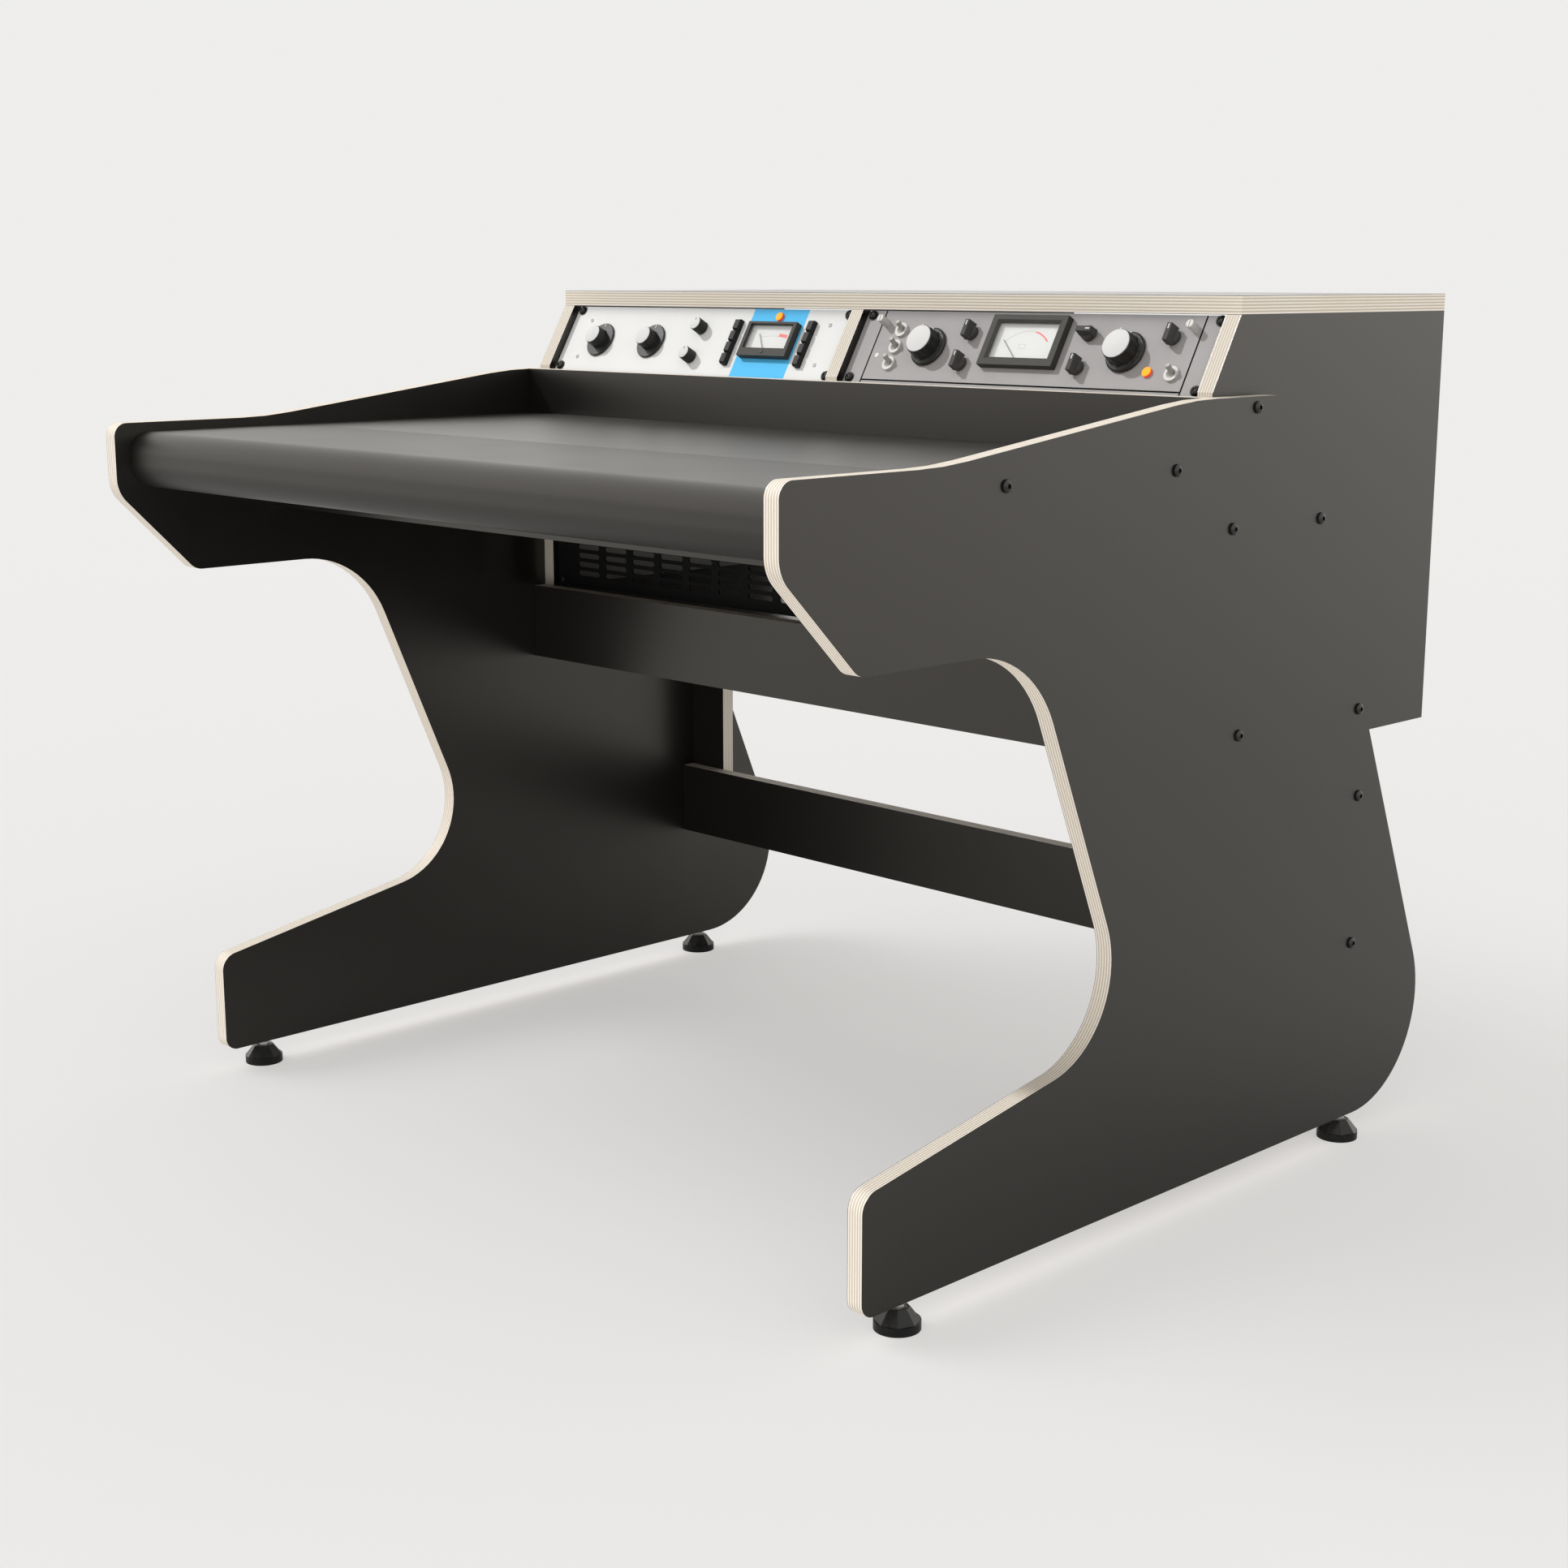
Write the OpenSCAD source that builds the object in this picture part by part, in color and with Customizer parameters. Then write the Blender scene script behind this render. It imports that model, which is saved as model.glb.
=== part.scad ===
// Studio desk: two cut plywood side panels carry a desktop with a thick
// rounded armrest, and a cabinet with two tilted and two upright rack bays.
// Lengths are millimetres. Inside the modules X is centred, Y runs back from
// the front edge of the arms and Z is the height above the side panels' lower
// edge. The module placed() moves all of it into the part's own frame.

/* [Sheet material] */
// Thickness of every plywood board
board_t = 18; // [16:0.5:20]
// Clearance at the ends of the pieces that are pushed in between the side panels
end_gap = 0.3; // [0.1:0.1:0.5]

/* [Rack] */
// Width of a rack faceplate
rack_w = 482.6; // [470:0.1:490]
// Clearance between a faceplate and each bay wall
bay_gap = 0.7; // [0.5:0.1:2]
// Height of one rack unit
rack_row_h = 44.45; // [43:0.05:46]
// Gap that a faceplate leaves to its neighbour
rack_row_gap = 0.8; // [0.4:0.1:1.2]
// Distance of a rack screw from the faceplate's left or right edge
rack_screw_inset = 8.75; // [8:0.05:9.5]
// Distance of a rack screw from the faceplate's upper or lower edge
rack_screw_edge = 5.95; // [5:0.05:8]
// Tilt of the upper rack bays from upright, in degrees
rack_tilt = 30; // [24:1:34]
// How far the faceplates sit behind the cabinet's front edges
rack_recess = 9; // [6:0.5:12]
// How far the vent panels sit behind the cabinet's front edges
vent_recess = 7.5; // [4:0.5:12]
// Thickness of a unit's faceplate
faceplate_t = 3; // [2.5:0.1:4]
// Thickness of a vent panel
vent_t = 2; // [1.5:0.1:3]
// Sheet thickness of the rack rails
rail_t = 2; // [1.5:0.1:2.5]
// Width of the front flange of a rack rail
rail_w = 17; // [16:0.5:20]
// Depth of the side flange of a rack rail
rail_depth = 20; // [14:1:30]

/* [Side panels] */
// Length from the arms' front edge to the cabinet's back
desk_depth = 998; // [960:1:1040]
// Height of the arms' upper edge
arm_top_z = 737; // [730:1:745]
// Height at which the arms' front edge ends and the chamfer starts
arm_nose_z = 662; // [655:1:680]
// Height of the arms' lower edge
arm_under_z = 570.5; // [560:0.5:580]
// Where the upper edge starts to rise
rise_y = 191; // [180:1:220]
// Angle of the rising upper edge, in degrees
rise_angle = 7.12; // [6.9:0.01:7.3]
// Height of the level ledge beside the cabinet
ledge_z = 781; // [778:1:786]
// Lean of the column's front and rear edges from upright, in degrees
column_lean = 22.95; // [22:0.05:24]
// Where the column's front edge would meet the floor edge
column_front_y = 555; // [540:1:570]
// Where the column's rear edge would meet the floor edge
column_rear_y = 1045.5; // [1030:0.5:1050]
// Front of the foot
toe_y = 100; // [80:1:120]
// Height of the foot's front edge
toe_h = 114; // [100:1:130]
// Slope of the foot's upper edge, in degrees
toe_slope = 10.1; // [8:0.1:12]
// Radius of the arm's upper front corner
arm_top_r = 15; // [8:1:20]
// Radius of the bend from the arm's front edge to its chamfer
arm_nose_r = 36; // [20:1:50]
// Radius of the bend from the chamfer to the arm's lower edge
arm_under_r = 20; // [10:1:40]
// Radius of the bends at both ends of the rising edge
rise_r = 500; // [200:10:600]
// Radius of the corner behind the ledge
ledge_r = 70; // [40:1:90]
// Radius of the hollow between arm and column
hollow_top_r = 118; // [90:1:130]
// Radius of the hollow between column and foot
hollow_low_r = 98; // [70:1:110]
// Radius of the heel
heel_r = 116; // [90:1:125]
// Radius of the foot's lower front corner
toe_low_r = 15; // [8:1:20]
// Radius of the foot's upper front corner
toe_top_r = 20; // [10:1:30]

/* [Desktop] */
// Height of the desktop's upper face
desktop_z = 727; // [722:0.5:730]
// Thickness of the desktop and of the armrest's flat part
desktop_t = 20; // [18:0.5:24]
// Front face of the armrest
armrest_y = 18; // [14:1:26]
// Where the armrest ends and the desktop starts
seam_y = 236; // [225:1:250]
// Width of the seam between armrest and desktop
seam_gap = 0.5; // [0.2:0.1:1]
// Height of the armrest's nose
armrest_h = 61; // [55:1:70]
// Depth of the armrest's nose
armrest_nose = 92; // [80:1:110]
// Radius along the armrest's upper front edge
armrest_top_r = 24; // [16:1:26]
// Radius along the armrest's lower front edge
armrest_low_r = 27; // [18:1:28]
// Front face of the apron under the armrest
apron_y = 197; // [190:1:205]
// Lower edge of the apron
apron_z = 635; // [620:1:650]

/* [Cabinet and crossbars] */
// Front face of the fascia and of the upper crossbar
fascia_y = 572.6; // [566:0.1:580]
// Lower edge of the cabinet
cabinet_z = 420; // [410:1:430]
// Height of both crossbars
crossbar_h = 90; // [84:1:96]
// Height of the lower rack bays, from floor board to middle board
lower_bay_h = 137; // [135:0.5:140]
// Height of the bottom board above the cabinet's lower edge
bottom_board_rise = 22; // [10:1:30]
// Height of the underside of the top shelf
shelf_z = 857.6; // [855:0.1:862]
// Front edge of the top shelf
shelf_y = 632.4; // [628:0.1:638]
// Front face of the lower crossbar
low_bar_y = 823; // [815:1:830]
// Lower edge of the lower crossbar
low_bar_z = 152; // [140:1:170]
// Width of the cleats that hold the lower crossbar
cleat_w = 61; // [50:1:70]

/* [Vent panels] */
// Height of a vent panel in rack units
vent_units = 3; // [3]
// Number of slots across
vent_cols = 8; // [6:1:8]
// Number of slots from top to bottom
vent_rows = 10; // [6:1:10]
// Plain border of a vent panel at its left and right
vent_side_margin = 39.15; // [30:0.05:50]
// Plain border of a vent panel at its top and bottom
vent_end_margin = 13.5; // [10:0.5:20]
// Sheet left between two slots of a row
slot_bridge_x = 10.9; // [6:0.1:16]
// Sheet left between two rows of slots
slot_bridge_z = 4.5; // [3:0.1:6]

/* [Levelling feet] */
// Gap between the floor and the side panels
foot_gap = 26; // [24.5:0.5:34]
// Distance of the front feet from the arms' front edge
foot_front_y = 155; // [140:1:180]
// Distance of the rear feet from the arms' front edge
foot_rear_y = 856; // [820:1:880]
// Diameter of the foot's base
foot_d = 43.5; // [36:0.5:50]
// Height of the base's upright rim
foot_rim_h = 8.5; // [6:0.5:10]
// Height of the whole base
foot_base_h = 21; // [18:0.5:22]
// Diameter of the base's flat top
foot_top_d = 23; // [20:0.5:26]
// Diameter of the stud
stud_d = 8; // [6:0.5:9]
// Radial clearance of the stud in its threaded insert
stud_gap = 0.1; // [0.05:0.05:0.2]
// Length of stud above the side panel's lower edge
stud_l = 32; // [28:1:38]
// Outer diameter of the threaded insert
insert_d = 11.8; // [11:0.1:13]
// Length of the threaded insert
insert_l = 25; // [18:1:28]

/* [Bolts and screws] */
// Head diameter of a side bolt
bolt_head_d = 12; // [10:0.5:14]
// Head height of a side bolt
bolt_head_h = 4; // [3:0.1:5]
// Shank diameter of a side bolt
bolt_d = 6; // [5:0.5:7]
// Shank length of a side bolt
bolt_l = 48; // [45:1:52]
// Radial clearance of screws and bolts in their holes
bolt_gap = 0.2; // [0.1:0.05:0.4]
// Head diameter of a rack screw
rack_screw_d = 10.5; // [9:0.5:11]
// Head height of a rack screw
rack_screw_h = 4.6; // [3:0.1:5]

/* [Meters] */
// How far a meter's frame stands out of its faceplate
meter_h = 8.5; // [8:0.5:12]
// Thickness of the front wall of a meter's frame
meter_wall = 3; // [2:0.5:3.5]

/* [Hidden] */

// Round parts
$fn = 48;
// Angle of one step along a rounded corner
arc_step = 5;
// How far a cutting shape runs past the face that it cuts
over = 1;

// Colours
laminate = [0.16, 0.155, 0.15];
birch = [0.87, 0.81, 0.72];
black_metal = [0.06, 0.06, 0.06];
bright_metal = [0.8, 0.8, 0.8];
white_paint = [0.93, 0.93, 0.92];
grey_paint = [0.52, 0.51, 0.51];
knob_black = [0.08, 0.08, 0.08];

// Widths, from the rack faceplate outwards
bay_w = rack_w + 2 * bay_gap;
bay_x = (bay_w + board_t) / 2;
side_x = bay_w + board_t / 2;
inner_x = side_x + board_t;
desk_half = inner_x + board_t;

// Faceplates: heights, screws from their centre, and the slots of a vent panel
rack_screw_x = rack_w / 2 - rack_screw_inset;
upper_panel_h = 2 * rack_row_h - rack_row_gap;
vent_h = vent_units * rack_row_h - rack_row_gap;
slot_pitch_x = (rack_w - 2 * vent_side_margin + slot_bridge_x) / vent_cols;
slot_pitch_z = (vent_h - 2 * vent_end_margin + slot_bridge_z) / vent_rows;
slot_l = slot_pitch_x - slot_bridge_x;
slot_h = slot_pitch_z - slot_bridge_z;

// Cabinet
cabinet_y = fascia_y + board_t;
cabinet_back = desk_depth;
cabinet_d = cabinet_back - cabinet_y;
slant_z = shelf_z - (shelf_y - cabinet_y) / tan(rack_tilt);
rack_floor_z = cabinet_z + crossbar_h;
middle_z = rack_floor_z + lower_bay_h;
bottom_z = cabinet_z + bottom_board_rise;
low_panel_y = cabinet_y + vent_recess;
low_panel_z = rack_floor_z + lower_bay_h / 2;

// Centre of an upper faceplate's front face
shelf_clearance = 1.3;
panel_run = (upper_panel_h / 2) * cos(rack_tilt);
panel_z = shelf_z - shelf_clearance - panel_run;
panel_y = shelf_y + rack_recess / cos(rack_tilt) - (shelf_z - panel_z) * tan(rack_tilt);

// Cleats and lower crossbar
cleat_y = low_bar_y + board_t;
cleat_x = inner_x - cleat_w;

// Side bolts as [y, z, shank length]; each one lies in the middle of its board
desk_bolt_z = desktop_z - desktop_t / 2;
middle_bolt_z = middle_z + board_t / 2;
bottom_bolt_z = bottom_z + board_t / 2;
cleat_bolt_y = cleat_y + board_t / 2;
sheet_bolt_l = 2 * board_t - 1;
side_bolt_list = [
    [272, desk_bolt_z, bolt_l], [514, desk_bolt_z, bolt_l],
    [606.5, middle_bolt_z, bolt_l], [755.5, middle_bolt_z, bolt_l],
    [629, bottom_bolt_z, bolt_l], [842.5, bottom_bolt_z, bolt_l],
    [cleat_bolt_y, 357, bolt_l], [cleat_bolt_y, 196, bolt_l],
    [639.5, 770.5, sheet_bolt_l]
];
foot_list = [foot_front_y, foot_rear_y];

// Rack screws of an upper faceplate and of a vent panel, from its centre
upper_screw_z = upper_panel_h / 2 - rack_screw_edge;
vent_screw_z = vent_h / 2 - rack_screw_edge;
rack_screw_hole = 7;
rack_screw_shank = 5.8;
rail_hole = 6;
washer_t = 1;
cross_w = 1.3;
cross_depth = 2.2;

// Chassis of a rack unit
chassis_w = 430;
chassis_h = 84;
chassis_d = 178;
chassis_wall = 1.5;

// Compressor controls as [x, z] from the faceplate's centre
big_knob_pos = [[-175, -2], [-81, -2]];
small_knob_pos = [[0, 17], [0, -21]];
button_col_x = [62.7, 183.3];
button_w = 7.5;
button_l = 13.9;
button_pitch = 14.5;
button_mid_z = -1;
button_h = 7.3;
button_gap = 0.3;
button_travel = 3;
shaft_d = 6;
shaft_gap = 0.1;
shaft_l = 12;
knob_lift = 0.6;
comp_meter = [124, 2];
comp_meter_size = [79, 43.5];
comp_window = [69, 31];
comp_window_up = 3.5;
comp_lamp = [124, 33.5];
small_screw_x = 208;
small_screw_z = 25;
small_screw_pos = [for (x = [-1, 1], z = [-1, 1]) [x * small_screw_x, z * small_screw_z]];
small_screw_d = 3;
small_head_d = 5.4;
small_head_h = 1.2;

// Limiter controls as [x, z] from the faceplate's centre
large_knob_pos = [[-132.5, 0.8], [132.5, 0.8]];
pointer_pos = [[-79, 18.2], [-79, -18], [78.5, 20], [78.5, -18], [184, 18.2]];
pointer_turn = [0, 0, 90, 0, 0];
toggle_pos = [[-181, 20.3], [-181, 0], [-181, -20.3], [197.5, -21]];
thumb_pos = [[-207, 28], [207, 28]];
lim_meter = [0, 8.3];
lim_meter_size = [100, 58];
lim_window = [80, 40];
lim_window_up = 0.5;
lim_lamp = [167.5, -20.2];
groove_x = 214.5;
groove_z = -40;
groove_w = 1.2;
groove_d = 1;

// Meters: the dial is at the back, then the needle, then the glass
dial_t = 1.4;
glass_t = 1;
needle_t = 0.6;
needle_w = 0.7;
hub_d = 4;
pivot_d = 1.6;
pivot_gap = 0.1;
frame_wall = 1.6;
comp_pivot = [-1, -17.5];
lim_pivot = [0, -24.6];
comp_needle_l = 33;
lim_needle_l = 41;
comp_needle_turn = -37;
lim_needle_turn = -48;
meter_cavity = meter_h - meter_wall;
needle_y = -(dial_t + 1.1);

// Toggle switches
toggle_l = 14.6;
toggle_neck_l = 5.5;
toggle_neck_d = 3;
toggle_d = 5;
toggle_tip_d = 5.8;
toggle_lean = 18;
bushing_d = 16.2;
bushing_h = 3;
barrel_d = 12;
ball_d = 5.6;
ball_gap = 0.15;

// Outline helpers
function unit(v) = v / norm(v);
function heading(v) = atan2(v[1], v[0]);
function turn(a, b) = let (d = b - a) d > 180 ? d - 360 : d < -180 ? d + 360 : d;

// Points of the arc that rounds the corner at b, between a and c
function corner(a, b, c, r) =
    let (
        u = unit(a - b),
        w = unit(c - b),
        half = acos(u * w) / 2,
        reach = r / tan(half),
        mid = b + unit(u + w) * r / sin(half),
        a0 = heading(b + u * reach - mid),
        sweep = turn(a0, heading(b + w * reach - mid)),
        steps = max(2, ceil(abs(sweep) / arc_step))
    )
    [for (i = [0:steps]) mid + r * [cos(a0 + sweep * i / steps), sin(a0 + sweep * i / steps)]];

// Outline with every corner of pts rounded by its radius
function rounded(pts, radii) =
    let (n = len(pts))
    [for (i = [0:n - 1]) each corner(pts[(i + n - 1) % n], pts[i], pts[(i + 1) % n], radii[i])];

// Edges of the leaning column at a height
function column_front(z) = column_front_y - z * tan(column_lean);
function column_rear(z) = column_rear_y - z * tan(column_lean);

// Where the foot's rising upper edge meets the column's front edge
function foot_meet_z() =
    (toe_h / tan(toe_slope) + column_front_y - toe_y) / (1 / tan(toe_slope) + tan(column_lean));

// Frames
module placed() translate([0, -desk_depth / 2, foot_gap]) children();
module placed_on_slope(side) placed() on_slope(side) children();
module on_slope(side)
    translate([side * bay_x, panel_y, panel_z]) rotate([-rack_tilt, 0, 0]) children();
module on_lower(side) translate([side * bay_x, low_panel_y, low_panel_z]) children();
module both_sides() for (side = [-1, 1]) scale_x(side) children();
module scale_x(side) if (side < 0) mirror([1, 0, 0]) children(); else children();
module at(pos) translate([pos[0], 0, pos[1]]) children();

// A shape drawn in a front view, given depth from y0 backwards
module front_plate(y0, t) translate([0, y0 + t, 0]) rotate([90, 0, 0]) linear_extrude(t) children();
// A profile drawn as [y, z], given width along X from x0
module side_profile(x0, w) translate([x0, 0, 0]) rotate([90, 0, 90]) linear_extrude(w) children();
// A round bar along X, from x0 outwards, or along Y, from y0 towards the front
module rod_x(x0, l, d) translate([x0, 0, 0]) rotate([0, 90, 0]) cylinder(d = d, h = l);
module rod_front(y0, l, d1, d2) translate([0, y0, 0]) rotate([90, 0, 0]) cylinder(d1 = d1, d2 = d2, h = l);
module peg(y0, l, d) rod_front(y0, l, d, d);

// Side panels

module side_outline()
    polygon(rounded(
        [
            [0, arm_top_z], [rise_y, arm_top_z],
            [rise_y + (ledge_z - arm_top_z) / tan(rise_angle), ledge_z],
            [column_rear(ledge_z), ledge_z], [column_rear_y, 0],
            [toe_y, 0], [toe_y, toe_h], [column_front(foot_meet_z()), foot_meet_z()],
            [column_front(arm_under_z), arm_under_z],
            [arm_nose_z - arm_under_z, arm_under_z], [0, arm_nose_z]
        ],
        [
            arm_top_r, rise_r, rise_r, ledge_r, heel_r, toe_low_r, toe_top_r,
            hollow_low_r, hollow_top_r, arm_under_r, arm_nose_r
        ]));

// Holes for the side bolts, from x0 to x1
module side_bolt_holes(x0, x1)
    for (b = side_bolt_list)
        translate([0, b[0], b[1]]) rod_x(x0, x1 - x0, bolt_d + 2 * bolt_gap);

module side_panel()
    difference() {
        side_profile(inner_x, board_t) side_outline();
        side_bolt_holes(inner_x - over, desk_half + over);
        for (y = foot_list) translate([inner_x + board_t / 2, y, 0]) {
            translate([0, 0, -over]) cylinder(d = insert_d + 2 * stud_gap, h = insert_l + over + 0.2);
            cylinder(d = stud_d + 1, h = stud_l + 2);
        }
    }

module left_side_panel() color(laminate) placed() mirror([1, 0, 0]) side_panel();
module right_side_panel() color(laminate) placed() side_panel();

// Desktop

module armrest()
    color(laminate) placed() side_profile(-inner_x + end_gap, 2 * (inner_x - end_gap)) {
        low = desktop_z - armrest_h;
        back = armrest_y + armrest_nose;
        polygon(concat(
            corner([back, low], [armrest_y, low], [armrest_y, desktop_z], armrest_low_r),
            corner([armrest_y, low], [armrest_y, desktop_z], [seam_y, desktop_z], armrest_top_r),
            [[seam_y, desktop_z], [seam_y, desktop_z - desktop_t],
             [back, desktop_z - desktop_t], [back, low]]
        ));
    }

// Blind holes in the ends of a board for the side bolts of one row
module end_holes(z, half)
    for (b = side_bolt_list) if (b[1] == z)
        translate([0, b[0], b[1]]) both_sides()
            rod_x(desk_half - b[2] - 1, half - (desk_half - b[2] - 1) + over, bolt_d + 2 * bolt_gap);

module desktop_board()
    color(laminate) placed() difference() {
        translate([-inner_x + end_gap, seam_y + seam_gap, desktop_z - desktop_t])
            cube([2 * (inner_x - end_gap), fascia_y - seam_y - seam_gap, desktop_t]);
        end_holes(desk_bolt_z, inner_x);
    }

// A plain board across the desk, between the side panels
module cross_board(y, z, h)
    translate([-inner_x + end_gap, y, z]) cube([2 * (inner_x - end_gap), board_t, h]);

module apron_rail() color(laminate) placed()
    cross_board(apron_y, apron_z, desktop_z - desktop_t - apron_z);
module fascia_board() color(laminate) placed()
    cross_board(fascia_y, middle_z, ledge_z - middle_z);
module upper_crossbar() color(laminate) placed() cross_board(fascia_y, cabinet_z, crossbar_h);
module lower_crossbar() color(laminate) placed() cross_board(low_bar_y, low_bar_z, crossbar_h);

module leg_cleats()
    color(laminate) placed() difference() {
        both_sides() translate([cleat_x, cleat_y, low_bar_z])
            cube([cleat_w - end_gap, board_t, cabinet_z - low_bar_z - end_gap]);
        for (b = side_bolt_list) if (b[0] == cleat_bolt_y)
            translate([0, b[0], b[1]]) both_sides()
                rod_x(desk_half - b[2] - 1, b[2] + 1, bolt_d + 2 * bolt_gap);
    }

// Cabinet

module cabinet_sheet(x0)
    side_profile(x0, board_t) polygon([
        [cabinet_y, cabinet_z], [cabinet_back, cabinet_z], [cabinet_back, shelf_z],
        [shelf_y, shelf_z], [cabinet_y, slant_z]
    ]);

module cabinet_side()
    difference() {
        cabinet_sheet(side_x);
        side_bolt_holes(side_x - over, side_x + board_t + over);
    }

module left_cabinet_side() color(laminate) placed() mirror([1, 0, 0]) cabinet_side();
module right_cabinet_side() color(laminate) placed() cabinet_side();
module centre_divider() color(laminate) placed() cabinet_sheet(-board_t / 2);

module top_shelf()
    color(laminate) placed() translate([-inner_x, shelf_y, shelf_z])
        cube([2 * inner_x, cabinet_back - shelf_y, board_t]);

// A pair of boards, one in each bay
module bay_boards(z)
    difference() {
        both_sides() translate([board_t / 2, cabinet_y, z]) cube([bay_w, cabinet_d, board_t]);
        end_holes(z + board_t / 2, side_x);
    }

module middle_boards() color(laminate) placed() bay_boards(middle_z);
module rack_floor_boards() color(laminate) placed() bay_boards(rack_floor_z - board_t);
module bottom_boards() color(laminate) placed() bay_boards(bottom_z);

// Domed bolt with a hexagon socket, its head on the outer face of a side panel
module side_bolt(l)
    difference() {
        union() {
            rotate([0, 90, 0]) rotate_extrude()
                polygon(concat([[0, 0], [bolt_head_d / 2, 0]],
                    [for (a = [0:15:75])
                        [bolt_head_d / 2 * cos(a), bolt_head_h * (0.35 + 0.65 * sin(a))]],
                    [[0, bolt_head_h]]));
            rod_x(-l, l, bolt_d);
        }
        translate([bolt_head_h * 0.45, 0, 0]) rotate([0, 90, 0])
            cylinder(d = bolt_head_d * 0.42, h = bolt_head_h, $fn = 6);
    }

module side_bolts()
    color(black_metal) placed() both_sides()
        for (b = side_bolt_list) translate([desk_half, b[0], b[1]]) side_bolt(b[2]);

// Levelling feet

module at_feet() for (y = foot_list) translate([inner_x + board_t / 2, y, 0]) children();

module foot_inserts()
    color(bright_metal) placed() both_sides() at_feet() difference() {
        cylinder(d = insert_d, h = insert_l);
        translate([0, 0, -over]) cylinder(d = stud_d + 2 * stud_gap, h = insert_l + 2 * over);
    }

hex_af = 14;
hex_gap = 1;
hex_sink = 3;

// Faceted base with a hexagon socket, and the stud whose hexagon sits in it
module foot()
    translate([0, 0, -foot_gap]) {
        hex_z = foot_base_h - hex_sink;
        color(knob_black) difference() {
            union() {
                cylinder(d = foot_d, h = foot_rim_h);
                translate([0, 0, foot_rim_h])
                    cylinder(d1 = foot_d - 0.6, d2 = foot_top_d, h = foot_base_h - foot_rim_h, $fn = 8);
            }
            translate([0, 0, hex_z])
                cylinder(d = (hex_af + 1) / cos(30), h = hex_sink + over, $fn = 6);
        }
        color(bright_metal) translate([0, 0, hex_z]) {
            cylinder(d = hex_af / cos(30), h = foot_gap - hex_gap - hex_z, $fn = 6);
            cylinder(d = stud_d, h = foot_gap - hex_z + stud_l);
        }
    }

module foot_at(side, y) placed() translate([side * (inner_x + board_t / 2), y, 0]) foot();
module foot_front_left() foot_at(-1, foot_front_y);
module foot_front_right() foot_at(1, foot_front_y);
module foot_rear_left() foot_at(-1, foot_rear_y);
module foot_rear_right() foot_at(1, foot_rear_y);

// Rack fittings

module rail_pair(y0, half_h, screw_z)
    both_sides() difference() {
        translate([0, y0, 0]) union() {
            translate([bay_w / 2 - rail_w, 0, -half_h]) cube([rail_w, rail_t, 2 * half_h]);
            translate([bay_w / 2 - rail_t, 0, -half_h]) cube([rail_t, rail_depth, 2 * half_h]);
        }
        for (z = [-screw_z, screw_z])
            translate([rack_screw_x, 0, z]) peg(y0 + rail_t + over, rail_t + 2 * over, rail_hole);
    }

module rack_rails()
    color(black_metal) placed() for (side = [-1, 1]) {
        on_slope(side) rail_pair(faceplate_t, upper_panel_h / 2, upper_screw_z);
        on_lower(side) rail_pair(vent_t, lower_bay_h / 2, vent_screw_z);
    }

// Screw with a washer under its domed head, and a cross recess
module rack_screw(l)
    difference() {
        union() {
            peg(0, washer_t, rack_screw_d + 1.6);
            rotate([90, 0, 0]) rotate_extrude()
                polygon(concat([[0, 0], [rack_screw_d / 2, 0]],
                    [for (a = [0:15:75])
                        [rack_screw_d / 2 * cos(a), rack_screw_h * (0.3 + 0.7 * sin(a))]],
                    [[0, rack_screw_h]]));
            peg(l, l, rack_screw_shank);
        }
        for (a = [45, 135]) rotate([0, a, 0])
            translate([-rack_screw_d * 0.28, -rack_screw_h - over, -cross_w / 2])
                cube([rack_screw_d * 0.56, cross_depth + over, cross_w]);
    }

module rack_screw_set(screw_z, t)
    for (x = [-1, 1], z = [-1, 1])
        at([x * rack_screw_x, z * screw_z]) rack_screw(t + rail_t + 6);

module rack_screws()
    color(black_metal) placed() for (side = [-1, 1]) {
        on_slope(side) rack_screw_set(upper_screw_z, faceplate_t);
        on_lower(side) rack_screw_set(vent_screw_z, vent_t);
    }

// Holes through a plate for its four rack screws
module rack_screw_holes(screw_z, t)
    for (x = [-1, 1], z = [-1, 1])
        at([x * rack_screw_x, z * screw_z]) peg(t + over, t + 2 * over, rack_screw_hole);

module slot() {
    square([slot_l - slot_h, slot_h], center = true);
    for (x = [-1, 1]) translate([x * (slot_l - slot_h) / 2, 0]) circle(d = slot_h, $fn = 24);
}

module vent_panel()
    difference() {
        front_plate(0, vent_t) difference() {
            square([rack_w, vent_h], center = true);
            for (i = [0:vent_cols - 1], j = [0:vent_rows - 1])
                translate([(i - (vent_cols - 1) / 2) * slot_pitch_x,
                           (j - (vent_rows - 1) / 2) * slot_pitch_z]) slot();
        }
        rack_screw_holes(vent_screw_z, vent_t);
    }

module vent_panels()
    color(black_metal) placed() for (side = [-1, 1]) on_lower(side) vent_panel();

// Folded steel case behind a faceplate, open towards it
module chassis()
    front_plate(faceplate_t, chassis_d) difference() {
        square([chassis_w, chassis_h], center = true);
        square([chassis_w - 2 * chassis_wall, chassis_h - 2 * chassis_wall], center = true);
    }

module chassis_with_back() {
    chassis();
    front_plate(faceplate_t + chassis_d, chassis_wall)
        square([chassis_w, chassis_h], center = true);
}

module compressor_chassis() color(bright_metal) placed_on_slope(-1) chassis_with_back();
module limiter_chassis() color(bright_metal) placed_on_slope(1) chassis_with_back();

// Blank faceplate with its rack screw holes
module faceplate()
    difference() {
        front_plate(0, faceplate_t) square([rack_w, upper_panel_h], center = true);
        rack_screw_holes(upper_screw_z, faceplate_t);
    }

module plate_hole(pos, d) at(pos) peg(faceplate_t + over, faceplate_t + 2 * over, d);
module plate_window(pos, size)
    at(pos) front_plate(-over, faceplate_t + 2 * over) square(size, center = true);

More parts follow.
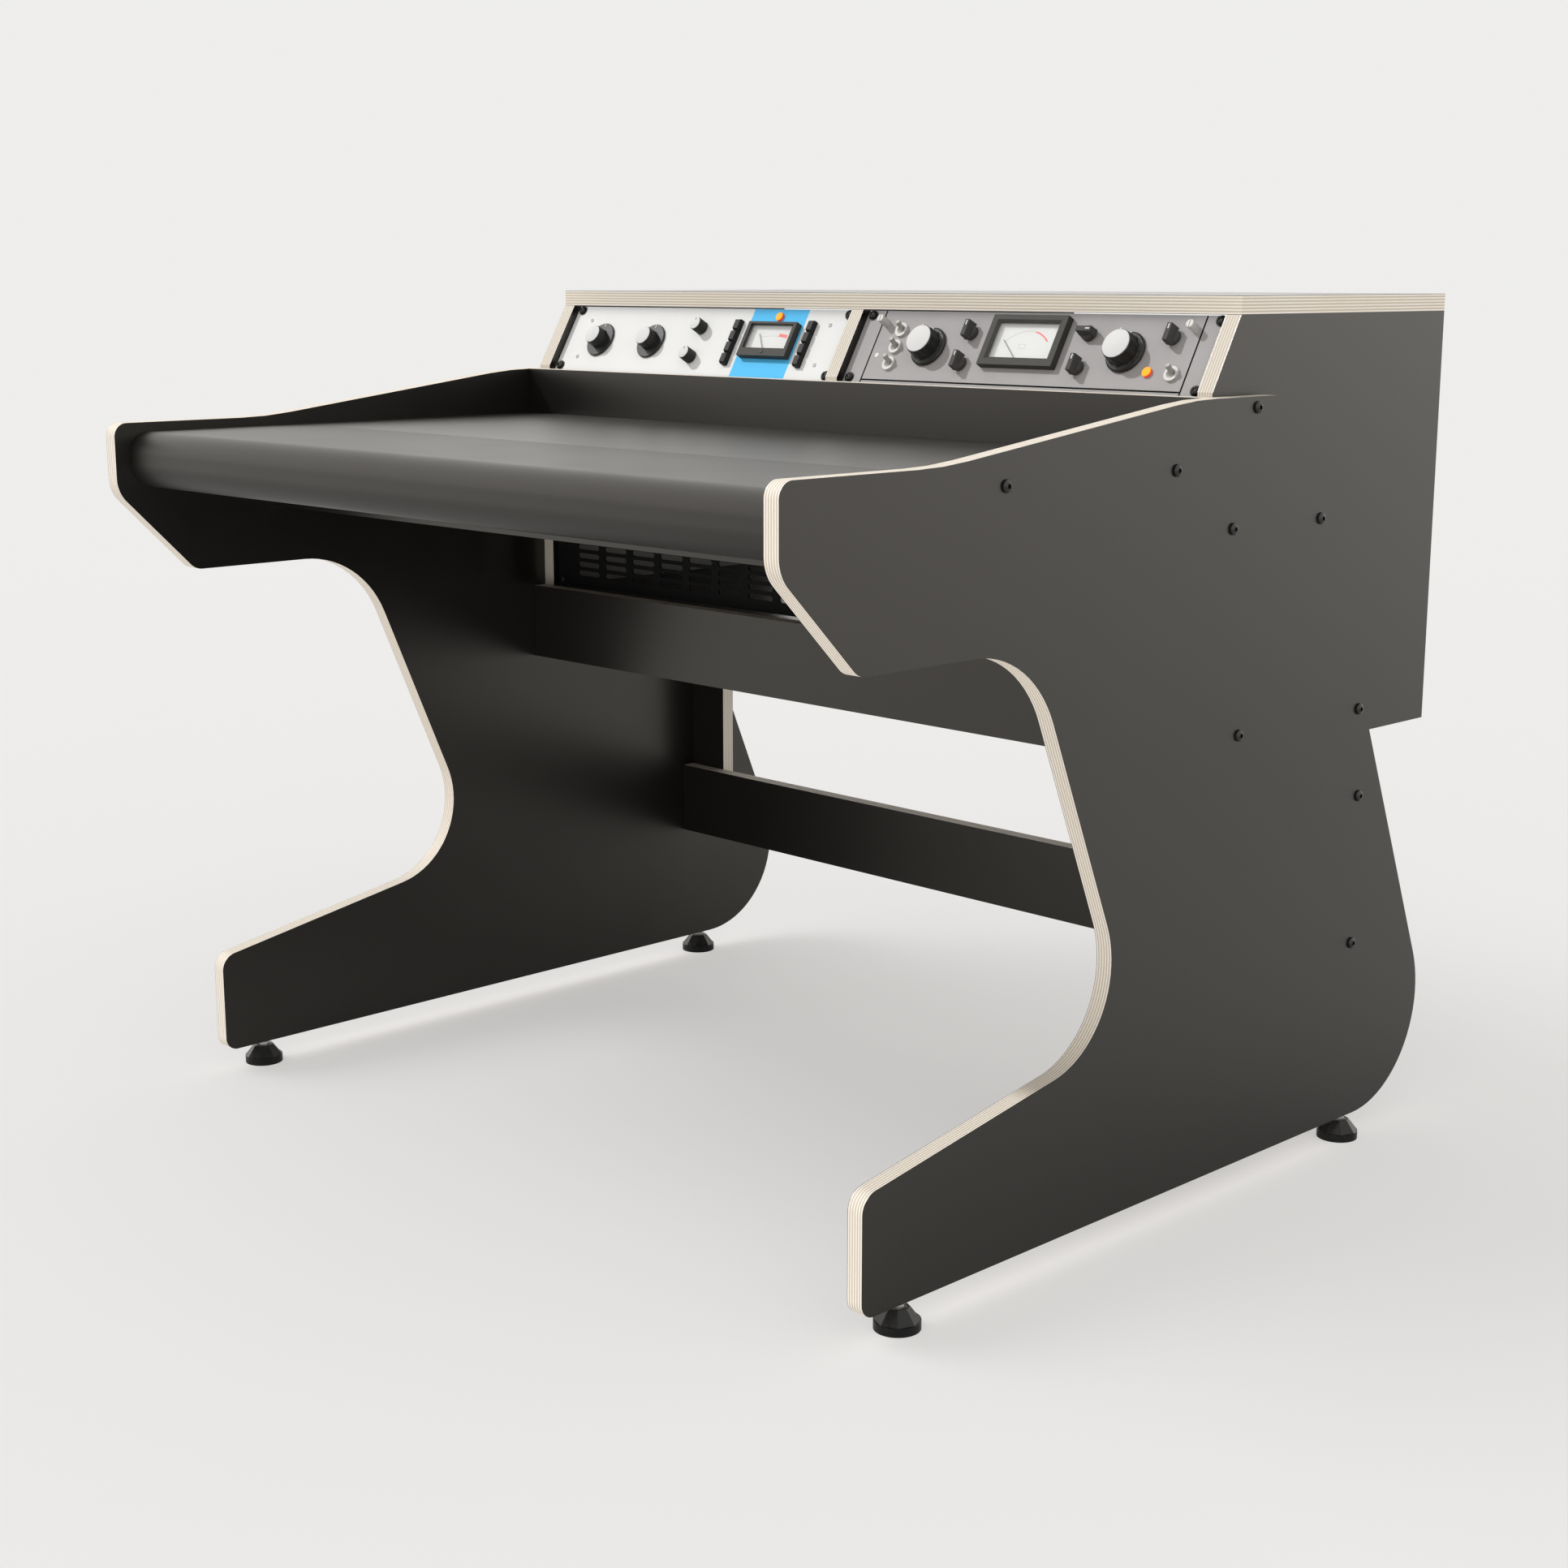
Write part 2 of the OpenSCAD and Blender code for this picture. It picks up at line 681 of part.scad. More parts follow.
lamp_d = 8;
button_window = [button_w + 2 * button_gap, 4 * button_pitch];

module compressor_faceplate()
    color(white_paint) placed_on_slope(-1) difference() {
        faceplate();
        for (pos = concat(big_knob_pos, small_knob_pos)) plate_hole(pos, shaft_d + 2 * shaft_gap);
        for (x = button_col_x) plate_window([x, button_mid_z], button_window);
        plate_hole(comp_lamp, lamp_d + 2 * bolt_gap);
        for (pos = small_screw_pos) plate_hole(pos, small_screw_d + 2 * bolt_gap);
    }

module limiter_faceplate()
    color(grey_paint) placed_on_slope(1) difference() {
        faceplate();
        for (pos = concat(large_knob_pos, pointer_pos)) plate_hole(pos, shaft_d + 2 * shaft_gap);
        for (pos = toggle_pos) plate_hole(pos, barrel_d + 2 * bolt_gap);
        for (pos = thumb_pos) plate_hole(pos, thumb_pin_d + 2 * bolt_gap);
        plate_hole(lim_lamp, lamp_d + 2 * bolt_gap);
        for (x = [-groove_x, groove_x])
            translate([x - groove_w / 2, -over, -upper_panel_h]) cube([groove_w, groove_d + over, 2 * upper_panel_h]);
        translate([-groove_x, -over, groove_z - groove_w / 2])
            cube([2 * groove_x, groove_d + over, groove_w]);
    }

// Meters, drawn about the centre of their frame

module meter_shell(size)
    difference() {
        front_plate(-meter_h, meter_h) square(size, center = true);
        front_plate(-meter_cavity, meter_cavity + over)
            square([size[0] - 2 * frame_wall, size[1] - 2 * frame_wall], center = true);
    }

module comp_frame()
    difference() {
        meter_shell(comp_meter_size);
        at([0, comp_window_up]) front_plate(-meter_h - over, meter_wall + 2 * over)
            square(comp_window, center = true);
    }

bevel = 3;
module lim_frame()
    difference() {
        meter_shell(lim_meter_size);
        at([0, lim_window_up]) intersection() {
            linear_extrude(lim_meter_size[1], center = true) bevel_profile(lim_window[0]);
            rotate([0, 90, 0]) linear_extrude(lim_meter_size[0], center = true)
                bevel_profile(lim_window[1]);
        }
    }

// Section of a window that widens by the bevel towards the front, drawn as [across, y]
module bevel_profile(w)
    polygon([
        for (p = [[0, -meter_cavity + over], [0, -meter_cavity - 0.8], [bevel, -meter_h],
                  [bevel, -meter_h - over]]) [w / 2 + p[0], p[1]],
        for (p = [[bevel, -meter_h - over], [bevel, -meter_h], [0, -meter_cavity - 0.8],
                  [0, -meter_cavity + over]]) [-w / 2 - p[0], p[1]]
    ]);

module at_meter(side)
    on_slope(side) at(side < 0 ? comp_meter : lim_meter) children();

module meter_frames()
    color(knob_black) placed() {
        at_meter(-1) comp_frame();
        at_meter(1) lim_frame();
    }

// Dial plate with the pin that the needle turns on
module dial(size, pivot) {
    front_plate(-dial_t, dial_t)
        square([size[0] - 2 * frame_wall - 0.4, size[1] - 2 * frame_wall - 0.4], center = true);
    at(pivot) peg(-dial_t, meter_cavity - dial_t - glass_t - 0.4, pivot_d);
}

module meter_dials()
    color(white_paint) placed() {
        at_meter(-1) dial(comp_meter_size, comp_pivot);
        at_meter(1) dial(lim_meter_size, lim_pivot);
    }

module glass(size)
    front_plate(-meter_cavity, glass_t)
        square([size[0] - 2 * frame_wall - 0.4, size[1] - 2 * frame_wall - 0.4], center = true);

module meter_glasses()
    color([0.8, 0.85, 0.85, 0.3]) placed() {
        at_meter(-1) glass(comp_meter_size);
        at_meter(1) glass(lim_meter_size);
    }

// Needle with a drilled hub, pointing up before it is turned to its rest angle
module needle(l, rest)
    rotate([0, rest, 0]) difference() {
        union() {
            peg(needle_y + needle_t, needle_t * 2, hub_d);
            translate([-needle_w / 2, needle_y - needle_t, 0]) cube([needle_w, needle_t, l]);
        }
        peg(needle_y + needle_t + over, needle_t * 2 + 2 * over, pivot_d + 2 * pivot_gap);
    }

module compressor_needle()
    color(knob_black) placed() at_meter(-1) at(comp_pivot) needle(comp_needle_l, comp_needle_turn);
module limiter_needle()
    color(knob_black) placed() at_meter(1) at(lim_pivot) needle(lim_needle_l, lim_needle_turn);

// Lamp with a flat round lens that stands out of its faceplate
lens_d = 10.4;
lens_h = 3.4;
lens_bevel = 0.6;
module lamp() {
    peg(faceplate_t, faceplate_t, lamp_d);
    peg(0, lens_h - lens_bevel, lens_d);
    rod_front(lens_bevel - lens_h, lens_bevel, lens_d, lens_d - 2 * lens_bevel);
}

module pilot_lamps()
    color("orange") placed() {
        on_slope(-1) at(comp_lamp) lamp();
        on_slope(1) at(lim_lamp) lamp();
    }

// Captive thumb screw with a slot, which holds the limiter's front
thumb_d = 8.6;
thumb_pin_d = 4;
thumb_h = 14;
thumb_bevel = 0.4;
thumb_slot = [1, 1.2];
module thumb_screw()
    difference() {
        union() {
            peg(0, thumb_h - thumb_bevel, thumb_d);
            rod_front(thumb_bevel - thumb_h, thumb_bevel, thumb_d, thumb_d - 2 * thumb_bevel);
            peg(faceplate_t + 4, faceplate_t + 4, thumb_pin_d);
        }
        translate([-thumb_slot[0] / 2, -thumb_h - over, -thumb_d])
            cube([thumb_slot[0], over + thumb_slot[1], 2 * thumb_d]);
    }

// Low screw with a hexagon socket, which holds the compressor's faceplate to its case
module small_screw()
    difference() {
        union() {
            rod_front(0, small_head_h, small_head_d, small_head_d - small_head_h);
            peg(faceplate_t + 4, faceplate_t + 4, small_screw_d);
        }
        rotate([90, 0, 0]) translate([0, 0, small_head_h * 0.4])
            cylinder(d = small_head_d * 0.45, h = small_head_h, $fn = 6);
    }

module panel_screws()
    color(bright_metal) placed() {
        on_slope(1) for (pos = thumb_pos) at(pos) thumb_screw();
        on_slope(-1) for (pos = small_screw_pos) at(pos) small_screw();
    }

// Round nut and barrel that hold a toggle switch, bored for its lever
module toggle_bushings()
    color(bright_metal) placed_on_slope(1) for (pos = toggle_pos) at(pos) difference() {
        union() {
            peg(0, bushing_h, bushing_d);
            peg(faceplate_t + 5, faceplate_t + 5, barrel_d);
        }
        rod_front(0.4, bushing_h + 0.8, ball_d - 0.6, barrel_d - 1);
        translate([0, ball_y, 0]) sphere(d = ball_d + 2 * ball_gap);
        peg(faceplate_t + 5 + over, 5 + over, ball_d - 1.4);
    }

// Controls

// Toggle lever: a ball in the bushing and a bat that widens to its flat tip
ball_y = 2;
tip_bevel = 0.5;
module toggle_lever()
    translate([0, ball_y, 0]) rotate([-toggle_lean, 0, 0]) {
        sphere(d = ball_d);
        rod_front(0, toggle_neck_l, toggle_neck_d, toggle_d);
        rod_front(-toggle_neck_l, toggle_l - toggle_neck_l - tip_bevel, toggle_d, toggle_tip_d);
        rod_front(-toggle_l + tip_bevel, tip_bevel, toggle_tip_d, toggle_tip_d - 2 * tip_bevel);
    }

module toggle(i) color(bright_metal) placed_on_slope(1) at(toggle_pos[i]) toggle_lever();
module power_toggle() toggle(0);
module range_toggle() toggle(1);
module bypass_toggle() toggle(2);
module standby_toggle() toggle(3);

// Shaft of a knob, through the faceplate
module shaft() peg(shaft_l, shaft_l + knob_lift + 1, shaft_d);

// Outline of a round grip with n shallow flutes
module fluted(d, n, depth)
    polygon([for (i = [0:4 * n - 1])
        let (a = 90 * i / n)
        (d / 2 - depth * (1 - cos(a * n)) / 2) * [cos(a), sin(a)]]);

// Fluted grip from y0 towards the front, with a bevelled flat cap
module grip(y0, l, d, n, depth, cap_d, cap_h) {
    translate([0, y0, 0]) rotate([90, 0, 0]) linear_extrude(l - cap_h) fluted(d, n, depth);
    rod_front(y0 - l + cap_h, cap_h, cap_d, cap_d - cap_h);
}

// Knob with a flat round skirt
skirt_d = 44;
skirt_h = 2.4;
skirt_bevel = 0.6;
knob_d = 24.5;
knob_h = 16.8;
knob_cap_d = 22.8;
flute = 0.35;
module skirt_knob()
    union() {
        shaft();
        peg(-knob_lift, skirt_h - skirt_bevel, skirt_d);
        rod_front(-knob_lift - skirt_h + skirt_bevel, skirt_bevel, skirt_d, skirt_d - 2 * skirt_bevel);
        grip(-knob_lift - 1, knob_h - 1, knob_d, 30, flute, knob_cap_d, 0.9);
    }

module input_knob() color(knob_black) placed_on_slope(-1) at(big_knob_pos[0]) skirt_knob();
module output_knob() color(knob_black) placed_on_slope(-1) at(big_knob_pos[1]) skirt_knob();

small_knob_d = 16.8;
small_knob_h = 14.6;
small_cap_d = 15.6;
module small_knob()
    union() {
        shaft();
        grip(-knob_lift, small_knob_h, small_knob_d, 24, flute, small_cap_d, 0.9);
    }

module attack_knob() color(knob_black) placed_on_slope(-1) at(small_knob_pos[0]) small_knob();
module release_knob() color(knob_black) placed_on_slope(-1) at(small_knob_pos[1]) small_knob();

// Push button: a cap with bevelled ends and the body that runs in the faceplate's window
button_tail = 8;
button_bevel = [1.6, 2.4];
module push_button()
    side_profile(-button_w / 2, button_w) {
        half = button_l / 2;
        polygon([
            [button_tail, -half], [button_tail, half], [button_bevel[1] - button_h, half],
            [-button_h, half - button_bevel[0]], [-button_h, button_bevel[0] - half],
            [button_bevel[1] - button_h, -half]
        ]);
    }

// Button i of column c, counted from the top
module button(c, i)
    color(knob_black) placed_on_slope(-1)
        at([button_col_x[c], button_mid_z + (1.5 - i) * button_pitch]) push_button();
module ratio_button_1() button(0, 0);
module ratio_button_2() button(0, 1);
module ratio_button_3() button(0, 2);
module ratio_button_4() button(0, 3);
module meter_button_1() button(1, 0);
module meter_button_2() button(1, 1);
module meter_button_3() button(1, 2);
module meter_button_4() button(1, 3);

// Large fluted knob on a stepped skirt, with a flat cap
large_skirt_d = 45;
large_skirt_h = 2.4;
large_step_h = 2;
large_knob_d = 36;
large_knob_h = 20.4;
large_cap_d = 31;
large_flute = 1.4;
module large_knob()
    union() {
        shaft();
        peg(-knob_lift, large_skirt_h, large_skirt_d);
        rod_front(-knob_lift - large_skirt_h, large_step_h, large_skirt_d, large_skirt_d - 2 * large_step_h);
        grip(-knob_lift - large_skirt_h, large_knob_h - large_skirt_h, large_knob_d, 10, large_flute,
             large_cap_d, 1);
    }

module gain_knob() color(knob_black) placed_on_slope(1) at(large_knob_pos[0]) large_knob();
module level_knob() color(knob_black) placed_on_slope(1) at(large_knob_pos[1]) large_knob();

// Pointer knob: a round base and a bar that narrows towards its front
pointer_d = 16;
pointer_base_h = 5;
pointer_bevel = 1;
pointer_h = 14.5;
pointer_l = 18.5;
pointer_back = 8.6;
pointer_w = 8;
pointer_front_w = 5.4;
module pointer_knob(turned)
    rotate([0, turned, 0]) {
        root = -knob_lift - pointer_base_h / 2;
        shaft();
        peg(-knob_lift, pointer_base_h, pointer_d);
        rod_front(-knob_lift - pointer_base_h, pointer_bevel, pointer_d, pointer_d - 2 * pointer_bevel);
        translate([0, 0, -pointer_back]) linear_extrude(pointer_l) polygon([
            [-pointer_w / 2, root], [pointer_w / 2, root],
            [pointer_front_w / 2, -pointer_h], [-pointer_front_w / 2, -pointer_h]
        ]);
    }

module selector(i)
    color(knob_black) placed_on_slope(1) at(pointer_pos[i]) pointer_knob(pointer_turn[i]);
module mode_selector() selector(0);
module attack_selector() selector(1);
module recovery_selector() selector(2);
module meter_selector() selector(3);
module link_selector() selector(4);

left_side_panel();
right_side_panel();
armrest();
desktop_board();
apron_rail();
fascia_board();
upper_crossbar();
lower_crossbar();
leg_cleats();
left_cabinet_side();
right_cabinet_side();
centre_divider();
top_shelf();
middle_boards();
rack_floor_boards();
bottom_boards();
side_bolts();
foot_inserts();
rack_rails();
rack_screws();
vent_panels();
compressor_faceplate();
compressor_chassis();
limiter_faceplate();
limiter_chassis();
meter_frames();
meter_dials();
meter_glasses();
pilot_lamps();
panel_screws();
toggle_bushings();
foot_front_left();
foot_front_right();
foot_rear_left();
foot_rear_right();
compressor_needle();
limiter_needle();
input_knob();
output_knob();
attack_knob();
release_knob();
ratio_button_1();
ratio_button_2();
ratio_button_3();
ratio_button_4();
meter_button_1();
meter_button_2();
meter_button_3();
meter_button_4();
gain_knob();
level_knob();
mode_selector();
attack_selector();
recovery_selector();
meter_selector();
link_selector();
power_toggle();
range_toggle();
bypass_toggle();
standby_toggle();
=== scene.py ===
"""Looks of a studio desk with a rounded armrest and tilted rack bays.

Lengths in the desk's classes are millimetres, as a joiner would give them. The
studio round it is given in metres. Every mesh is written in metres in the frame
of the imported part.
"""

from __future__ import annotations

import logging
import math
from dataclasses import dataclass, field
from enum import Enum
from typing import Iterable, Sequence

import bmesh
import bpy
import numpy as np
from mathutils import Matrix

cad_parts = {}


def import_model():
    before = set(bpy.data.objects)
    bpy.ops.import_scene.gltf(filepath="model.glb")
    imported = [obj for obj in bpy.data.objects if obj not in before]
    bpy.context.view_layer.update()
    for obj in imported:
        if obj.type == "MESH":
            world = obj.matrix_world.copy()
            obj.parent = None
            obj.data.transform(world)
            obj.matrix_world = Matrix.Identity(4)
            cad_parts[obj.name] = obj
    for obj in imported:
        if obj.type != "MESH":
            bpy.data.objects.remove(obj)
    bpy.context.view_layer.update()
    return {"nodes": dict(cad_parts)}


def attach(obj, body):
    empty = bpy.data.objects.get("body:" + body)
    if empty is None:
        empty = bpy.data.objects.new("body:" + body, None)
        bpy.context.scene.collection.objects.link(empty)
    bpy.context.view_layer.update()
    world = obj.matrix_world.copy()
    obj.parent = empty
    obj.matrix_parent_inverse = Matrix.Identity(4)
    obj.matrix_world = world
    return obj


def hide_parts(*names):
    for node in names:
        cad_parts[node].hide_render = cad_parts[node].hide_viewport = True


log = logging.getLogger("studio_desk")

# A millimetre in metres, and the millimetres in a metre
MM = 0.001
PER_METRE = 1000.0
# The body that stands still
FIXED = "desk"
# Metres under which two points are one, and degrees above which an edge stays crisp
MERGE_DISTANCE = 1e-6
CRISP_ANGLE = 32.0
# Points along each edge of a printed arc, and round small screws and dots
ARC_POINTS = 36
SMALL_SIDES = 32

Colour = tuple[float, float, float]
Vector = tuple[float, float, float]
Point = tuple[float, float]
Profile = Sequence[Point]
Surface = tuple[np.ndarray, list[list[int]]]


# Frames


class Axis(Enum):
    """A direction across a board's thickness."""

    X = 0
    Y = 1
    Z = 2


class Slot(Enum):
    """Names of the record's material slots, passed along with new pieces but not used."""

    BLACK_PLASTIC = "black_plastic"
    DIAL_WHITE = "dial_white"
    GREY_PANEL = "grey_panel"
    AMBER_LENS = "amber_lens"


@dataclass(frozen=True)
class DeskSizes:
    """Sizes of the desk that its looks depend on, in millimetres.

    A name that ends in y is a distance from the arms' front edge, and one that
    ends in z a height above the side panels' lower edge, which stands the lift
    above the floor.
    """

    board: float = 18.0
    bay: float = 484.0
    depth: float = 998.0
    lift: float = 26.0
    shelf_z: float = 857.6
    shelf_y: float = 632.4
    recess: float = 9.0
    tilt: float = 30.0
    faceplate_h: float = 88.1
    shelf_clearance: float = 1.3
    fascia_y: float = 572.6
    cabinet_z: float = 420.0
    crossbar_h: float = 90.0
    lower_bay_h: float = 137.0
    bottom_rise: float = 22.0
    low_bar_y: float = 823.0
    apron_y: float = 197.0
    desktop_z: float = 727.0
    desktop_t: float = 20.0

    def side_x(self) -> float:
        """Inner face of a cabinet side."""
        return self.bay + self.board / 2

    def inner_x(self) -> float:
        """Inner face of a side panel."""
        return self.side_x() + self.board

    def bay_x(self) -> float:
        """Middle of a rack bay."""
        return (self.bay + self.board) / 2

    def frame_y(self, y: float) -> float:
        """Distance from the arms' front edge, in the part's frame."""
        return y - self.depth / 2

    def frame_z(self, z: float) -> float:
        """Height above the side panels' lower edge, in the part's frame."""
        return z + self.lift


@dataclass(frozen=True)
class FacePlane:
    """A leaning front: x to the right, out towards the user, z up the slope."""

    x: float
    y: float
    z: float
    tilt: float

    @classmethod
    def upper_bay(cls, sizes: DeskSizes, side: int) -> FacePlane:
        """The plane of a tilted faceplate's front.

        Args:
            sizes: The desk's sizes.
            side: -1 for the left bay and 1 for the right one.

        Returns:
            The plane, with its origin in the middle of the faceplate.
        """
        lean = math.radians(sizes.tilt)
        z = sizes.shelf_z - sizes.shelf_clearance - sizes.faceplate_h / 2 * math.cos(lean)
        set_back = sizes.recess / math.cos(lean)
        y = sizes.shelf_y + set_back - (sizes.shelf_z - z) * math.tan(lean)
        return cls(side * sizes.bay_x(), sizes.frame_y(y), sizes.frame_z(z), lean)

    def place(self, points: np.ndarray) -> np.ndarray:
        """Carries points [x, out, z] of this front into the part's frame.

        The plane's own axes are x, the outward normal (0, -cos, sin) and the
        slope (0, sin, cos), so a point is the origin plus each of its values
        along its axis.

        Args:
            points: Millimetres, with the three values last.

        Returns:
            The same points in metres in the part's frame.
        """
        x, out, z = points[..., 0], points[..., 1], points[..., 2]
        c, s = math.cos(self.tilt), math.sin(self.tilt)
        return np.stack([self.x + x, self.y - out * c + z * s, self.z + out * s + z * c], -1) * MM


# Surfaces


def grid_faces(rows: int, columns: int, closed: bool) -> list[list[int]]:
    """Quads between neighbouring points of a grid.

    Args:
        rows: Number of points along the first parameter.
        columns: Number of points along the second one.
        closed: Whether the last column joins the first.

    Returns:
        One list of four indices for each quad.
    """
    last = columns if closed else columns - 1
    i, j = np.meshgrid(np.arange(rows - 1), np.arange(last), indexing="ij")
    k = (j + 1) % columns
    here, above = i * columns, (i + 1) * columns
    return np.stack([here + j, here + k, above + k, above + j], -1).reshape(-1, 4).tolist()


@dataclass(frozen=True)
class Flutes:
    """Grooves round a turned form, from a low to a high place on it, each as deep as its cut."""

    count: int = 0
    cut: float = 0.0
    low: float = 0.0
    high: float = 0.0


def turned(profile: Profile, sides: int, flutes: Flutes = Flutes()) -> Surface:
    """A turned form round the outward axis, with flutes cut over a band.

    A point at the angle t and the height out stands at the profile's radius,
    less cut times half of 1 - cos(count times t) where out is in the band.

    Args:
        profile: Radius and height pairs, from one pole to the other.
        sides: Number of points round the axis.
        flutes: The flutes, none unless they are given.

    Returns:
        Points [x, out, z] in millimetres and faces.
    """
    radius, out = np.array(profile, float).T
    angle = np.linspace(0, 2 * math.pi, sides, endpoint=False)
    inside = (out >= flutes.low) & (out <= flutes.high) & (radius > 0)
    wave = (1 - np.cos(flutes.count * angle))[None, :] / 2
    r = radius[:, None] - flutes.cut * inside[:, None] * wave
    out = np.broadcast_to(out[:, None], r.shape)
    points = np.stack([r * np.sin(angle), out, r * np.cos(angle)], -1)
    return points.reshape(-1, 3), grid_faces(len(profile), sides, True)


@dataclass(frozen=True)
class Disc:
    """A low turned disc on the front, a little higher in its middle than at its edge."""

    radius: float
    edge: float
    crown: float
    sides: int = SMALL_SIDES

    def surface(self) -> Surface:
        """The disc, turned from its own corners."""
        profile = ((0, 0.0), (self.radius, 0.0), (self.radius, self.edge), (0, self.crown))
        return turned(profile, self.sides)


def extruded(outline: np.ndarray, low: float, high: float) -> Surface:
    """A closed prism: an outline [x, z] carried from one height to another.

    Args:
        outline: Corners in order.
        low: Height of its back.
        high: Height of its front.

    Returns:
        Points [x, out, z] and faces.
    """
    n = len(outline)
    levels = np.repeat([low, high], n)
    both = np.tile(outline, (2, 1))
    points = np.stack([both[:, 0], levels, both[:, 1]], -1)
    return points, grid_faces(2, n, True) + [list(range(n))[::-1], list(range(n, 2 * n))]


def joined(surfaces: Iterable[Surface]) -> Surface:
    """Several surfaces as one, each with its indices moved past those before it.

    Args:
        surfaces: Surfaces in any place.

    Returns:
        All their points and faces.
    """
    points, faces, base = [], [], 0
    for p, f in surfaces:
        points.append(p)
        faces += [[i + base for i in face] for face in f]
        base += len(p)
    return np.concatenate(points), faces


def shifted(surface: Surface, place: Point, turn: float = 0.0) -> Surface:
    """A surface turned about the outward axis and then moved along its front.

    The turned x is x times cos plus z times sin, and the turned z is z times
    cos less x times sin.

    Args:
        surface: Points [x, out, z] and faces.
        place: X and Z that its origin moves to.
        turn: Clockwise turn in degrees.

    Returns:
        The moved points and the same faces.
    """
    points, faces = surface
    a = math.radians(turn)
    px = points[:, 0] * math.cos(a) + points[:, 2] * math.sin(a) + place[0]
    pz = points[:, 2] * math.cos(a) - points[:, 0] * math.sin(a) + place[1]
    return np.stack([px, points[:, 1], pz], -1), faces


def rectangle(width: float, height: float, x: float = 0.0, z: float = 0.0) -> np.ndarray:
    """Corners of a rectangle: its middle plus and minus half of its sides.

    Args:
        width: Its length along X.
        height: Its length along Z.
        x: X of its middle.
        z: Z of its middle.

    Returns:
        Four corners [x, z] in order.
    """
    corners = np.array([[-1, -1], [1, -1], [1, 1], [-1, 1]], float)
    return corners * [width / 2, height / 2] + [x, z]


@dataclass(frozen=True)
class Bar:
    """A raised bar on the front's middle line, z above its origin, from one height to another."""

    width: float
    height: float
    z: float
    low: float
    high: float

    def surface(self) -> Surface:
        """The bar as a prism."""
        return extruded(rectangle(self.width, self.height, 0, self.z), self.low, self.high)


@dataclass(frozen=True)
class Arc:
    """A printed band between two clockwise angles from up.

    Its middle lies outside the scale's radius by the rise.
    """

    width: float
    start: float
    end: float
    rise: float = 0.0

    def outline(self, centre: Point, radius: float) -> np.ndarray:
        """Outline of the band.

        Its two edges are circles of the radius plus and minus half its width,
        followed there and back between the two angles.

        Args:
            centre: The arc's centre, [x, z].
            radius: The scale's radius.

        Returns:
            The outline's corners.
        """
        a = np.radians(np.linspace(self.start, self.end, ARC_POINTS))
        way = np.stack([np.sin(a), np.cos(a)], -1)
        middle = radius + self.rise
        outer, inner = way * (middle + self.width / 2), (way * (middle - self.width / 2))[::-1]
        return np.concatenate([outer, inner]) + np.array(centre)


def make_piece(name: str, surface: Surface, plane: FacePlane, finish: Finish, body: str) -> bpy.types.Object:
    """Makes one piece of the scene on a front, and lets it ride on a body.

    Args:
        name: The piece's name.
        surface: Points [x, out, z] in millimetres and faces.
        plane: The front that it lies on.
        finish: Its finish.
        body: The body that it moves with.

    Returns:
        The new object.
    """
    points, faces = surface
    mesh = bpy.data.meshes.new(name)
    mesh.from_pydata(plane.place(points).tolist(), [], faces)
    shape = bmesh.new()
    shape.from_mesh(mesh)
    bmesh.ops.remove_doubles(shape, verts=shape.verts, dist=MERGE_DISTANCE)
    bmesh.ops.recalc_face_normals(shape, faces=shape.faces)
    shape.to_mesh(mesh)
    shape.free()
    mesh.polygons.foreach_set("use_smooth", np.ones(len(mesh.polygons), bool))
    mesh.set_sharp_from_angle(angle=math.radians(CRISP_ANGLE))
    piece = bpy.data.objects.new(name, mesh)
    bpy.context.scene.collection.objects.link(piece)
    mesh.materials.append(finish.material())
    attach(piece, body)
    log.info("piece %s rides on %s", name, body)
    return piece


# Node trees


class Step(Enum):
    """Steps of arithmetic, with Blender's names."""

    ADD = "ADD"
    SUBTRACT = "SUBTRACT"
    MULTIPLY = "MULTIPLY"
    DIVIDE = "DIVIDE"
    REMAINDER = "MODULO"
    FRACTION = "FRACT"
    ABSOLUTE = "ABSOLUTE"
    ROOT = "SQRT"
    LEAST = "MINIMUM"
    MOST = "MAXIMUM"
    ABOVE = "GREATER_THAN"
    BELOW = "LESS_THAN"


class SocketKind(Enum):
    """Kinds of a node group's sockets, with Blender's names."""

    NUMBER = "NodeSocketFloat"
    VECTOR = "NodeSocketVector"
    COLOUR = "NodeSocketColor"


